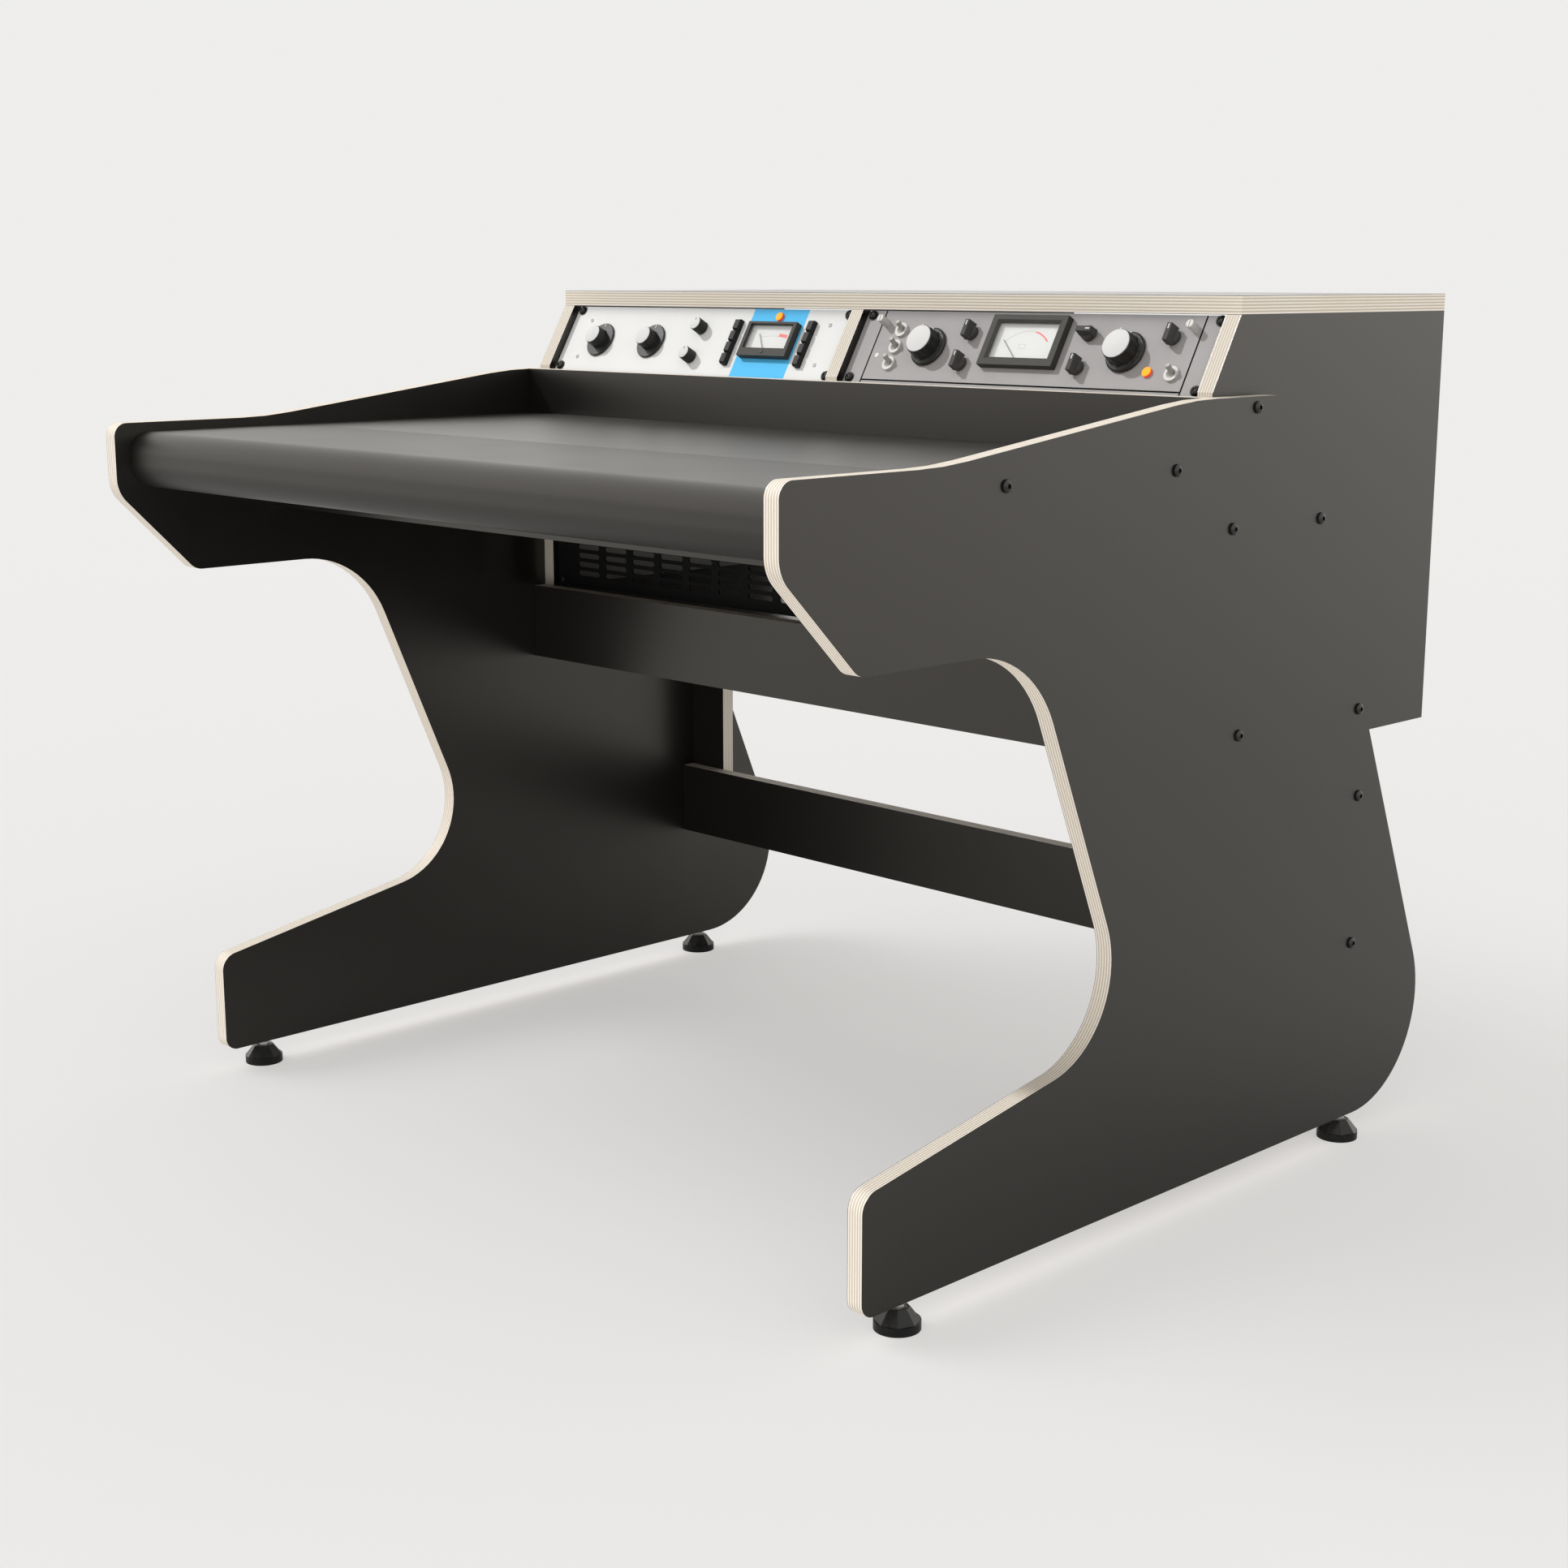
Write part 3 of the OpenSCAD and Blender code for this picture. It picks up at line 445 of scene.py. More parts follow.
@dataclass(frozen=True)
class Value:
    """An output in a node tree. Arithmetic on it adds the nodes that work it out."""

    bench: Bench
    socket: bpy.types.NodeSocket

    def __add__(self, other: Input) -> Value:
        """This value plus another."""
        return self.bench.math(Step.ADD, self, other)

    def __sub__(self, other: Input) -> Value:
        """This value less another."""
        return self.bench.math(Step.SUBTRACT, self, other)

    def __rsub__(self, other: float) -> Value:
        """A number less this value."""
        return self.bench.math(Step.SUBTRACT, other, self)

    def __mul__(self, other: Input) -> Value:
        """This value times another."""
        return self.bench.math(Step.MULTIPLY, self, other)

    def __truediv__(self, other: Input) -> Value:
        """This value divided by another."""
        return self.bench.math(Step.DIVIDE, self, other)

    def __mod__(self, other: Input) -> Value:
        """What is left of this value after whole steps of another."""
        return self.bench.math(Step.REMAINDER, self, other)

    def __abs__(self) -> Value:
        """This value without its sign."""
        return self.bench.math(Step.ABSOLUTE, self)

    def fraction(self) -> Value:
        """What stands behind this value's decimal point."""
        return self.bench.math(Step.FRACTION, self)

    def root(self) -> Value:
        """This value's square root."""
        return self.bench.math(Step.ROOT, self)

    def least(self, other: Input) -> Value:
        """The smaller of two values."""
        return self.bench.math(Step.LEAST, self, other)

    def most(self, other: Input) -> Value:
        """The larger of two values."""
        return self.bench.math(Step.MOST, self, other)

    def above(self, limit: Input) -> Value:
        """1 where this value is above a limit, and 0 elsewhere."""
        return self.bench.math(Step.ABOVE, self, limit)

    def below(self, limit: Input) -> Value:
        """1 where this value is below a limit, and 0 elsewhere."""
        return self.bench.math(Step.BELOW, self, limit)

    def split(self) -> list[Value]:
        """The X, Y and Z of this vector."""
        node = self.bench.add("ShaderNodeSeparateXYZ", {"Vector": self})
        return [self.bench.out(node, i) for i in range(3)]

    def between(self, first: Input, second: Input) -> Value:
        """Two colours mixed by this value.

        Blender's Mix node has its own sockets for each type of value. Those for
        colours come after the ones for numbers and vectors.

        Args:
            first: The colour where this value is 0.
            second: The colour where this value is 1.

        Returns:
            The mixed colour.
        """
        share_in, first_in, second_in, mixed_out = 0, 6, 7, 2
        inputs = {share_in: self, first_in: first, second_in: second}
        node = self.bench.add("ShaderNodeMix", inputs, data_type="RGBA")
        return self.bench.out(node, mixed_out)

    def between_shaders(self, first: Value, second: Value) -> Value:
        """Two shaders mixed by this value, the second's share."""
        return self.bench.make("ShaderNodeMixShader", {0: self, 1: first, 2: second})


Input = Value | float | Colour


class Bench:
    """Adds nodes to one node tree and joins them."""

    def __init__(self, tree: bpy.types.NodeTree) -> None:
        """Takes the tree and empties it."""
        self.tree = tree
        tree.nodes.clear()

    def add(self, kind: str, inputs: dict[str | int, Input] | None = None,
            **settings: object) -> bpy.types.Node:
        """Adds a node.

        Args:
            kind: Blender's name for the node.
            inputs: What feeds its sockets, by their names or numbers.
            settings: The node's own options.

        Returns:
            The node.
        """
        node = self.tree.nodes.new(kind)
        for option, value in settings.items():
            setattr(node, option, value)
        for label, value in (inputs or {}).items():
            self.feed(node.inputs[label], value)
        return node

    def make(self, kind: str, inputs: dict[str | int, Input] | None = None, **settings: object) -> Value:
        """Adds a node as add does, and gives its first output."""
        return self.out(self.add(kind, inputs, **settings))

    def out(self, node: bpy.types.Node, label: str | int = 0) -> Value:
        """One output of a node, by its name or number."""
        return Value(self, node.outputs[label])

    def feed(self, socket: bpy.types.NodeSocket, value: Input) -> None:
        """Links an output to a socket, or sets the socket's own value.

        Args:
            socket: The socket that is fed.
            value: An output, a number, a vector or a colour, which is made opaque.
        """
        if isinstance(value, Value):
            self.tree.links.new(value.socket, socket)
        else:
            socket.default_value = (*value, 1.0) if socket.type == "RGBA" else value

    def math(self, step: Step, *values: Input, clamp: bool = False) -> Value:
        """One step of arithmetic.

        Args:
            step: The step.
            values: Its one or two values.
            clamp: Whether the result is held between 0 and 1.

        Returns:
            The result.
        """
        inputs = dict(enumerate(values))
        return self.make("ShaderNodeMath", inputs, operation=step.value, use_clamp=clamp)


@dataclass(frozen=True)
class Noise:
    """A cloudy pattern: its bumps per metre, its finer layers and how strong these are."""

    scale: Input
    detail: float = 3.0
    rough: float = 0.55

    def over(self, place: Value) -> Value:
        """The pattern's value at each place."""
        inputs = {"Vector": place, "Scale": self.scale, "Detail": self.detail, "Roughness": self.rough}
        return place.bench.make("ShaderNodeTexNoise", inputs)


@dataclass(frozen=True)
class Ramp:
    """A smooth step from one value to another: the first up to low, and the last from high on."""

    low: float
    high: float
    first: float = 0.0
    last: float = 1.0

    def of(self, value: Value) -> Value:
        """Where the value stands on the ramp."""
        inputs = dict(enumerate((value, self.low, self.high, self.first, self.last)))
        return value.bench.make("ShaderNodeMapRange", inputs, interpolation_type="SMOOTHSTEP")


@dataclass(frozen=True)
class Tint:
    """A colour laid thinly over another, as strong as a ramp says."""

    colour: Colour
    share: Ramp

    def over(self, pattern: Value, base: Input) -> Value:
        """The base colour, tinted where a pattern is high."""
        return self.share.of(pattern).between(base, self.colour)


@dataclass(frozen=True)
class Relief:
    """Fine bumps on a surface: how strongly they show, and their height in millimetres."""

    strength: float
    height: float

    def of(self, level: Value) -> Value:
        """The direction that a surface with these levels faces at each place."""
        inputs = {"Strength": self.strength, "Distance": self.height * MM, "Height": level}
        return level.bench.make("ShaderNodeBump", inputs)


@dataclass(frozen=True)
class SharedGroup:
    """A node group that several finishes share. It is built once."""

    label: str
    takes: tuple[tuple[str, SocketKind], ...]
    gives: tuple[tuple[str, SocketKind], ...]

    def tree(self) -> bpy.types.NodeTree:
        """The group's node tree, built at its first use.

        Returns:
            The tree, with its named inputs and outputs.
        """
        found = bpy.data.node_groups.get(self.label)
        if found:
            return found
        tree = bpy.data.node_groups.new(self.label, "ShaderNodeTree")
        for in_out, sockets in (("INPUT", self.takes), ("OUTPUT", self.gives)):
            for name, kind in sockets:
                tree.interface.new_socket(name, in_out=in_out, socket_type=kind.value)
        bench = Bench(tree)
        entry = bench.add("NodeGroupInput")
        bench.add("NodeGroupOutput", self.wire({name: bench.out(entry, name) for name, _ in self.takes}))
        return tree

    def wire(self, get: dict[str, Value]) -> dict[str, Value]:
        """Works out the group's outputs from its inputs. Each kind of group has its own way."""
        raise NotImplementedError

    def placed(self, bench: Bench, values: dict[str, Input]) -> dict[str, Value]:
        """Puts the group into a material with that material's own values.

        Args:
            bench: The material's bench.
            values: What feeds the group, by name.

        Returns:
            The group's outputs, by name.
        """
        node = bench.add("ShaderNodeGroup", values, node_tree=self.tree())
        return {name: bench.out(node, name) for name, _ in self.gives}


@dataclass(frozen=True)
class BoardLayers(SharedGroup):
    """Laminate faces and layered edges of a board, by the distance across it."""

    label: str = "board layers"
    takes: tuple[tuple[str, SocketKind], ...] = (
        ("Across", SocketKind.NUMBER), ("Thickness", SocketKind.NUMBER), ("Place", SocketKind.VECTOR),
        ("Laminate", SocketKind.COLOUR), ("Haze", SocketKind.NUMBER), ("Shade", SocketKind.NUMBER))
    gives: tuple[tuple[str, SocketKind], ...] = (
        ("Colour", SocketKind.COLOUR), ("Roughness", SocketKind.NUMBER), ("Height", SocketKind.NUMBER))
    plies: float = 11.0
    skin: float = 0.5
    skin_edge: Ramp = Ramp(0.42, 0.5)
    pale_ply: Colour = (0.80, 0.757, 0.692)
    brown_ply: Colour = (0.50, 0.438, 0.352)
    # Colour that the ply edges darken towards by the Shade share: painted shade
    painted_edge_shade: Colour = (0.22, 0.20, 0.17)
    glue: Colour = (0.46, 0.385, 0.29)
    glue_share: float = 0.34
    glue_edge: Ramp = Ramp(0.34, 0.5)
    grain: Noise = Noise(420.0, detail=4.0, rough=0.65)
    pores: Tint = Tint((0.54, 0.45, 0.34), Ramp(0.35, 0.75, 0.0, 0.24))
    drift: Noise = Noise(9.0, detail=2.0)
    stain: Tint = Tint((0.62, 0.52, 0.40), Ramp(0.35, 0.7, 0.0, 0.16))
    speck: Noise = Noise(1500.0, detail=2.0, rough=0.6)
    speckle: Tint = Tint((0.013, 0.0122, 0.011), Ramp(0.3, 0.7, 0.0, 0.12))
    speck_haze: Ramp = Ramp(0.3, 0.7, -0.02, 0.02)
    cloud: Noise = Noise(2.4, rough=0.6)
    patches: Tint = Tint((0.010, 0.0094, 0.0085), Ramp(0.3, 0.75, 0.0, 0.12))
    cloud_haze: Ramp = Ramp(0.25, 0.75, 0.0, 0.06)
    edge_haze: float = 0.35

    def wire(self, get: dict[str, Value]) -> dict[str, Value]:
        """Tells skins, plies and glue joints apart and colours each.

        The skins are the first and last half millimetre. Between them lie
        eleven plies: the distance, as a share of the core, times eleven gives
        the ply. It is odd where more than 1 is left of it after whole pairs,
        and odd and even tones differ. A thin line marks each glue joint, where
        the ply's fraction is furthest from a half.

        Args:
            get: The group's inputs.

        Returns:
            Its outputs.
        """
        across, thickness, place = get["Across"], get["Thickness"], get["Place"]
        grain, drift = self.grain.over(place), self.drift.over(place)
        speck, cloud = self.speck.over(place), self.cloud.over(place)
        core = self.skin_edge.of(across.least(thickness - across))
        layer = (across - self.skin) / (thickness - 2 * self.skin) * self.plies
        joint = self.glue_edge.of(abs(layer.fraction() - 0.5))
        odd = (layer % 2.0).above(1.0)
        wood = odd.between(self.pale_ply, self.brown_ply)
        wood = self.stain.over(drift, self.pores.over(grain, wood))
        wood = (joint * self.glue_share).between(wood, self.glue)
        # Painted shade: the ply edges darken towards a dark colour by the Shade share
        wood = get["Shade"].between(wood, self.painted_edge_shade)
        laminate = self.patches.over(cloud, self.speckle.over(speck, get["Laminate"]))
        haze = self.cloud_haze.of(cloud) + self.speck_haze.of(speck) + get["Haze"]
        return {
            "Colour": core.between(laminate, wood),
            "Roughness": haze + core * self.edge_haze,
            "Height": speck * (1.0 - core) + (grain - joint) * core,
        }


@dataclass(frozen=True)
class FineGrain(SharedGroup):
    """Fine texture of paint, plastic or metal: a tint, a roughness and a height from two noises."""

    label: str = "fine grain"
    takes: tuple[tuple[str, SocketKind], ...] = (
        ("Place", SocketKind.VECTOR), ("Fine", SocketKind.NUMBER), ("Colour", SocketKind.COLOUR),
        ("Worn", SocketKind.COLOUR), ("Rough", SocketKind.NUMBER), ("Spread", SocketKind.NUMBER))
    gives: tuple[tuple[str, SocketKind], ...] = (
        ("Colour", SocketKind.COLOUR), ("Roughness", SocketKind.NUMBER), ("Height", SocketKind.NUMBER))
    detail: float = 3.0
    detail_rough: float = 0.6
    broad_scale: float = 35.0
    broad_wear: Ramp = Ramp(0.35, 0.75)
    fine_wear: Ramp = Ramp(0.3, 0.7, 0.5, 1.0)
    wear: float = 0.55

    def wire(self, get: dict[str, Value]) -> dict[str, Value]:
        """Mixes the worn colour in by both noises, and swings the roughness by their sum.

        Args:
            get: The group's inputs.

        Returns:
            Its outputs.
        """
        fine = Noise(get["Fine"], self.detail, self.detail_rough).over(get["Place"])
        broad = Noise(self.broad_scale, self.detail, self.detail_rough).over(get["Place"])
        worn = self.broad_wear.of(broad) * self.fine_wear.of(fine)
        swing = (broad + fine - 1.0) * get["Spread"]
        return {
            "Colour": (worn * self.wear).between(get["Colour"], get["Worn"]),
            "Roughness": swing.bench.math(Step.ADD, get["Rough"], swing, clamp=True),
            "Height": fine,
        }


# Finishes


def grey(level: float) -> Colour:
    """A colour with the same red, green and blue."""
    return (level, level, level)


@dataclass(frozen=True)
class Finish:
    """A surface finish with a name. Its material is built once."""

    name: str

    def material(self) -> bpy.types.Material:
        """The Blender material of this finish, built at its first use.

        Returns:
            The material.
        """
        found = bpy.data.materials.get(self.name)
        if found:
            return found
        made = bpy.data.materials.new(self.name)
        made.use_nodes = True
        bench = Bench(made.node_tree)
        place = bench.out(bench.add("ShaderNodeTexCoord"), "Object")
        shader = bench.make("ShaderNodeBsdfPrincipled", self.shader_inputs(place))
        bench.add("ShaderNodeOutputMaterial", {"Surface": shader})
        return made

    def shader_inputs(self, place: Value) -> dict[str, Input]:
        """What feeds the shader, by its sockets' names. Each kind of finish has its own way."""
        raise NotImplementedError


@dataclass(frozen=True)
class BoardFinish(Finish):
    """Plywood under a dark laminate, with its layers across one axis."""

    axis: Axis = Axis.X
    low: float = 0.0
    thickness: float = 18.0
    laminate: Colour = (0.0044, 0.0041, 0.0037)
    mirror: float = 0.74
    sheen: Colour = (1.0, 0.942, 0.862)
    haze: float = 0.29
    # Share of painted shade on the board's ply edges
    shade: float = 0.0
    relief: Relief = Relief(strength=0.22, height=0.12)
    layers: BoardLayers = BoardLayers()

    def shader_inputs(self, place: Value) -> dict[str, Input]:
        """Colours the board by the distance across it.

        Args:
            place: The place on the board.

        Returns:
            What feeds the shader.
        """
        layers = self.layers.placed(place.bench, {
            "Across": self.across(place), "Thickness": self.thickness, "Place": place,
            "Laminate": self.laminate, "Haze": self.haze, "Shade": self.shade})
        return {
            "Base Color": layers["Colour"],
            "Roughness": layers["Roughness"],
            "Normal": self.relief.of(layers["Height"]),
            "Specular IOR Level": self.mirror,
            "Specular Tint": self.sheen,
        }

    def across(self, place: Value) -> Input:
        """The distance in millimetres from the board's first face."""
        return place.split()[self.axis.value] * PER_METRE - self.low


@dataclass(frozen=True)
class WrappedFinish(BoardFinish):
    """The same laminate bent round every edge, so that no layers show."""

    mirror: float = 0.6
    haze: float = 0.42

    def across(self, place: Value) -> Input:
        """A place outside the board's core, the same everywhere."""
        return -1.0


@dataclass(frozen=True)
class Coat(Finish):
    """Paint, plastic or plated metal with a fine grain."""

    colour: Colour = grey(0.5)
    worn: Colour = grey(0.5)
    rough: float = 0.4
    spread: float = 0.12
    metal: float = 0.0
    grain: float = 900.0
    mirror: float = 0.5
    relief: Relief = Relief(strength=0.4, height=0.03)
    texture: FineGrain = FineGrain()

    def shader_inputs(self, place: Value) -> dict[str, Input]:
        """Takes colour, roughness and relief from the shared grain.

        Args:
            place: The place on the piece.

        Returns:
            What feeds the shader.
        """
        texture = self.texture.placed(place.bench, {
            "Place": place, "Fine": self.grain, "Colour": self.colour,
            "Worn": self.worn, "Rough": self.rough, "Spread": self.spread})
        return {
            "Base Color": texture["Colour"],
            "Roughness": texture["Roughness"],
            "Normal": self.relief.of(texture["Height"]),
            "Metallic": self.metal,
            "Specular IOR Level": self.mirror,
        }


@dataclass(frozen=True)
class FaceplatePaint(Coat):
    """Matt powder paint of a faceplate."""

    rough: float = 0.72
    spread: float = 0.06
    grain: float = 1800.0
    mirror: float = 0.3


@dataclass(frozen=True)
class BandedPaint(FaceplatePaint):
    """Faceplate paint with an upright band of a second colour between two places along X."""

    band: Colour = (0.078, 0.475, 0.82)
    start: float = 0.0
    end: float = 1.0
    blur: float = 0.1

    def shader_inputs(self, place: Value) -> dict[str, Input]:
        """Lays the band over the paint, 1 between its two edges and 0 beyond them.

        Args:
            place: The place on the faceplate.

        Returns:
            What feeds the shader.
        """
        paint = super().shader_inputs(place)
        x = place.split()[0] * PER_METRE
        inside = self.edge(self.start).of(x) * (1.0 - self.edge(self.end).of(x))
        return {**paint, "Base Color": inside.between(paint["Base Color"], self.band)}

    def edge(self, x: float) -> Ramp:
        """The step at one of the band's edges."""
        return Ramp(x - self.blur, x + self.blur)


@dataclass(frozen=True)
class FootFinish(Coat):
    """Black plastic below a height near the stud, and bright metal above it."""

    colour: Colour = grey(0.006)
    worn: Colour = grey(0.014)
    rough: float = 0.26
    spread: float = 0.1
    mirror: float = 0.26
    bright: Colour = (0.66, 0.66, 0.65)
    x: float = 0.0
    y: float = 0.0
    seat: float = 18.1
    reach: float = 8.4

    def shader_inputs(self, place: Value) -> dict[str, Input]:
        """Lays the metal over the plastic where the stud is.

        The stud is where the root of dx squared plus dy squared, the distance
        from the foot's axis, is below its reach, and the height above its seat.

        Args:
            place: The place on the foot.

        Returns:
            What feeds the shader.
        """
        plastic = super().shader_inputs(place)
        x, y, z = place.split()
        dx, dy = x - self.x * MM, y - self.y * MM
        stud = (dx * dx + dy * dy).root().below(self.reach * MM) * z.above(self.seat * MM)
        return {**plastic, "Base Color": stud.between(plastic["Base Color"], self.bright), "Metallic": stud}


@dataclass(frozen=True)
class Lens(Finish):
    """Coloured translucent plastic of a lit pilot lamp."""

    colour: Colour = (1.0, 0.36, 0.02)
    cloud: Colour = (1.0, 0.46, 0.04)
    clouds: Noise = Noise(260.0)
    cloud_share: Ramp = Ramp(0.3, 0.7, 0.0, 0.3)
    glow: float = 0.3
    mirror: float = 0.12
    rough: float = 0.6

    def shader_inputs(self, place: Value) -> dict[str, Input]:
        """Varies the lens a little and lets it glow.

        Args:
            place: The place on the lens.

        Returns:
            What feeds the shader.
        """
        tint = Tint(self.cloud, self.cloud_share).over(self.clouds.over(place), self.colour)
        return {
            "Base Color": tint,
            "Emission Color": tint,
            "Emission Strength": self.glow,
            "Specular IOR Level": self.mirror,
            "Roughness": self.rough,
        }


@dataclass(frozen=True)
class WindowGlass(Finish):
    """Thin clear cover of a meter."""

    colour: Colour = (0.95, 0.97, 0.97)
    veil: float = 0.08
    clouds: Noise = Noise(60.0)
    rough: Ramp = Ramp(0.3, 0.7, 0.02, 0.06)

    def shader_inputs(self, place: Value) -> dict[str, Input]:
        """Keeps the cover almost clear, with a faint change in its gloss."""
        rough = self.rough.of(self.clouds.over(place))
        return {"Base Color": self.colour, "Roughness": rough, "Alpha": self.veil}


@dataclass(frozen=True)
class Palette:
    """The finishes that more than one sub-assembly uses."""

    bolt_black: Coat = Coat("bolt black", grey(0.006), grey(0.02), rough=0.24, mirror=0.42)
    screw_black: Coat = Coat(
        "screw black", grey(0.007), grey(0.018), rough=0.46, spread=0.1, grain=1400.0, mirror=0.3)
    black_steel: Coat = Coat(
        "black steel", grey(0.016), grey(0.04), rough=0.38, spread=0.15, grain=1400.0)
    vent_steel: Coat = Coat(
        "vent panel paint", grey(0.006), (0.010, 0.010, 0.0095),
        rough=0.62, spread=0.08, grain=1300.0, mirror=0.1)
    black_plastic: Coat = Coat(
        "black plastic", grey(0.010), (0.026, 0.026, 0.025), rough=0.44, grain=1100.0, mirror=0.32)
    matt_plastic: Coat = Coat(
        "matt pointer plastic", (0.062, 0.061, 0.058), (0.075, 0.074, 0.071),
        rough=0.68, spread=0.08, grain=1300.0, mirror=0.12)
    key_plastic: Coat = Coat(
        "push button plastic", grey(0.013), (0.024, 0.024, 0.023),
        rough=0.58, spread=0.1, grain=1300.0, mirror=0.2)
    frame_plastic: Coat = Coat(
        "meter frame plastic", (0.045, 0.044, 0.0405), (0.062, 0.060, 0.056),
        rough=0.66, spread=0.1, grain=1600.0, mirror=0.2)
    zinc: Coat = Coat(
        "zinc plate", (0.62, 0.62, 0.61), (0.48, 0.48, 0.47),
        rough=0.36, spread=0.22, metal=1.0, grain=260.0)
    # The toggles' nickel, darker than the bushings' as painted shade on the levers
    lever_shaded_nickel: Coat = Coat(
        "shaded lever nickel", (0.38, 0.372, 0.355), (0.32, 0.312, 0.298),
        rough=0.5, spread=0.08, metal=0.1, grain=1400.0, mirror=0.3)
    nickel: Coat = Coat(
        "satin nickel", (0.58, 0.57, 0.55), (0.52, 0.51, 0.49),
        rough=0.62, spread=0.08, metal=0.08, grain=1400.0, mirror=0.25)
    light_cap: Coat = Coat(
        "pale knob cap", (0.625, 0.623, 0.617), (0.59, 0.588, 0.582),
        rough=0.70, spread=0.08, grain=1500.0, mirror=0.25)
    white_mark: Coat = Coat(
        "white mark", (0.66, 0.66, 0.65), (0.62, 0.62, 0.61),
        rough=0.65, spread=0.08, grain=1500.0, mirror=0.25)
    dark_mark: Coat = Coat("dark mark", grey(0.05), grey(0.09), rough=0.5, spread=0.08, grain=1500.0)
    # Black filling that stands for the shade inside the faceplate's grooves: painted shade
    groove_painted_shade: Coat = Coat(
        "groove painted shade", grey(0.004), grey(0.007), rough=0.8, spread=0.05, grain=1500.0, mirror=0.05)
    faint_mark: Coat = Coat(
        "faint scale line", (0.30, 0.295, 0.29), (0.36, 0.352, 0.345),
        rough=0.6, spread=0.08, grain=1500.0)
    red_mark: Coat = Coat(
        "red scale", (0.80, 0.10, 0.10), (0.74, 0.13, 0.12),
        rough=0.65, spread=0.08, grain=1500.0, mirror=0.2)
    needle_paint: Coat = Coat(
        "needle paint", (0.12, 0.12, 0.118), (0.16, 0.16, 0.155),
        rough=0.6, spread=0.08, grain=1500.0, mirror=0.2)
    dial: Coat = Coat(
        "dial card", (0.70, 0.70, 0.687), (0.68, 0.68, 0.665),
        rough=0.7, spread=0.06, grain=1500.0, mirror=0.25)
    amber_lens: Lens = Lens("amber lens")
    lamp_wall: Lens = Lens("lamp wall", colour=(0.95, 0.07, 0.05), cloud=(1.0, 0.12, 0.06), glow=0.25)
    window: WindowGlass = WindowGlass("meter window")


def dress_node(nodes: dict[str, bpy.types.Object], name: str, finish: Finish) -> None:
    """Gives a node of the part a finish in every one of its material slots.

    Args:
        nodes: The part's nodes.
        name: The node's name.
        finish: Its finish.
    """
    mesh = nodes[name].data
    if not mesh.materials:
        mesh.materials.append(finish.material())
    for i in range(len(mesh.materials)):
        mesh.materials[i] = finish.material()
    log.info("node %s is finished in %s", name, finish.name)


# Sub-assemblies


@dataclass
class Woodwork:
    """All boards of the desk, each with its layers across its own axis."""

    sizes: DeskSizes
    nodes: dict[str, bpy.types.Object]
    # Boards whose ply edges get painted shade, and the share of it
    slanting: tuple[str, ...] = ("left_cabinet_side", "right_cabinet_side", "centre_divider")
    slanting_painted_shade: float = 0.3
    desktop_haze: float = 0.37

    def boards(self) -> dict[str, tuple[Axis, float]]:
        """The axis across each board and where its first face lies.

        Returns:
            The axis and the place in millimetres, by the board's name.
        """
        s = self.sizes
        floor_top = s.cabinet_z + s.crossbar_h
        return {
            "left_side_panel": (Axis.X, -s.inner_x() - s.board),
            "right_side_panel": (Axis.X, s.inner_x()),
            "left_cabinet_side": (Axis.X, -s.side_x() - s.board),
            "right_cabinet_side": (Axis.X, s.side_x()),
            "centre_divider": (Axis.X, -s.board / 2),
            "top_shelf": (Axis.Z, s.frame_z(s.shelf_z)),
            "middle_boards": (Axis.Z, s.frame_z(floor_top + s.lower_bay_h)),
            "rack_floor_boards": (Axis.Z, s.frame_z(floor_top - s.board)),
            "bottom_boards": (Axis.Z, s.frame_z(s.cabinet_z + s.bottom_rise)),
            "fascia_board": (Axis.Y, s.frame_y(s.fascia_y)),
            "upper_crossbar": (Axis.Y, s.frame_y(s.fascia_y)),
            "lower_crossbar": (Axis.Y, s.frame_y(s.low_bar_y)),
            "leg_cleats": (Axis.Y, s.frame_y(s.low_bar_y + s.board)),
            "apron_rail": (Axis.Y, s.frame_y(s.apron_y)),
        }

    def build(self) -> None:
        """Finishes each board. The uprights' ply edges are darkened by a share of painted shade."""
        for name, (axis, low) in self.boards().items():
            shade = self.slanting_painted_shade if name in self.slanting else 0.0
            finish = BoardFinish(f"board {name}", axis, low, self.sizes.board, shade=shade)
            dress_node(self.nodes, name, finish)
        thickness = self.sizes.desktop_t
        low = self.sizes.frame_z(self.sizes.desktop_z - thickness)
        desktop = BoardFinish("board desktop_board", Axis.Z, low, thickness, haze=self.desktop_haze)
        dress_node(self.nodes, "desktop_board", desktop)
        dress_node(self.nodes, "armrest", WrappedFinish("wrapped laminate"))


@dataclass
class Fittings:
    """Bolts, feet, inserts, rails, rack screws and vent panels.

    The foot rows are the feet's distances from the arms' front edge.
    """

    sizes: DeskSizes
    nodes: dict[str, bpy.types.Object]
    palette: Palette
    foot_rows: tuple[float, float] = (155.0, 856.0)

    def build(self) -> None:
        """Finishes the fittings. Each foot's finish knows where its stud stands."""
        dress_node(self.nodes, "rack_rails", self.palette.black_steel)
        dress_node(self.nodes, "side_bolts", self.palette.bolt_black)
        dress_node(self.nodes, "rack_screws", self.palette.screw_black)
        dress_node(self.nodes, "vent_panels", self.palette.vent_steel)
        dress_node(self.nodes, "foot_inserts", self.palette.zinc)
        across = self.sizes.inner_x() + self.sizes.board / 2
        for end, row in zip(("front", "rear"), self.foot_rows):
            for side, word in ((-1, "left"), (1, "right")):
                finish = FootFinish(f"foot {end} {word}", x=side * across, y=self.sizes.frame_y(row))
                dress_node(self.nodes, f"foot_{end}_{word}", finish)


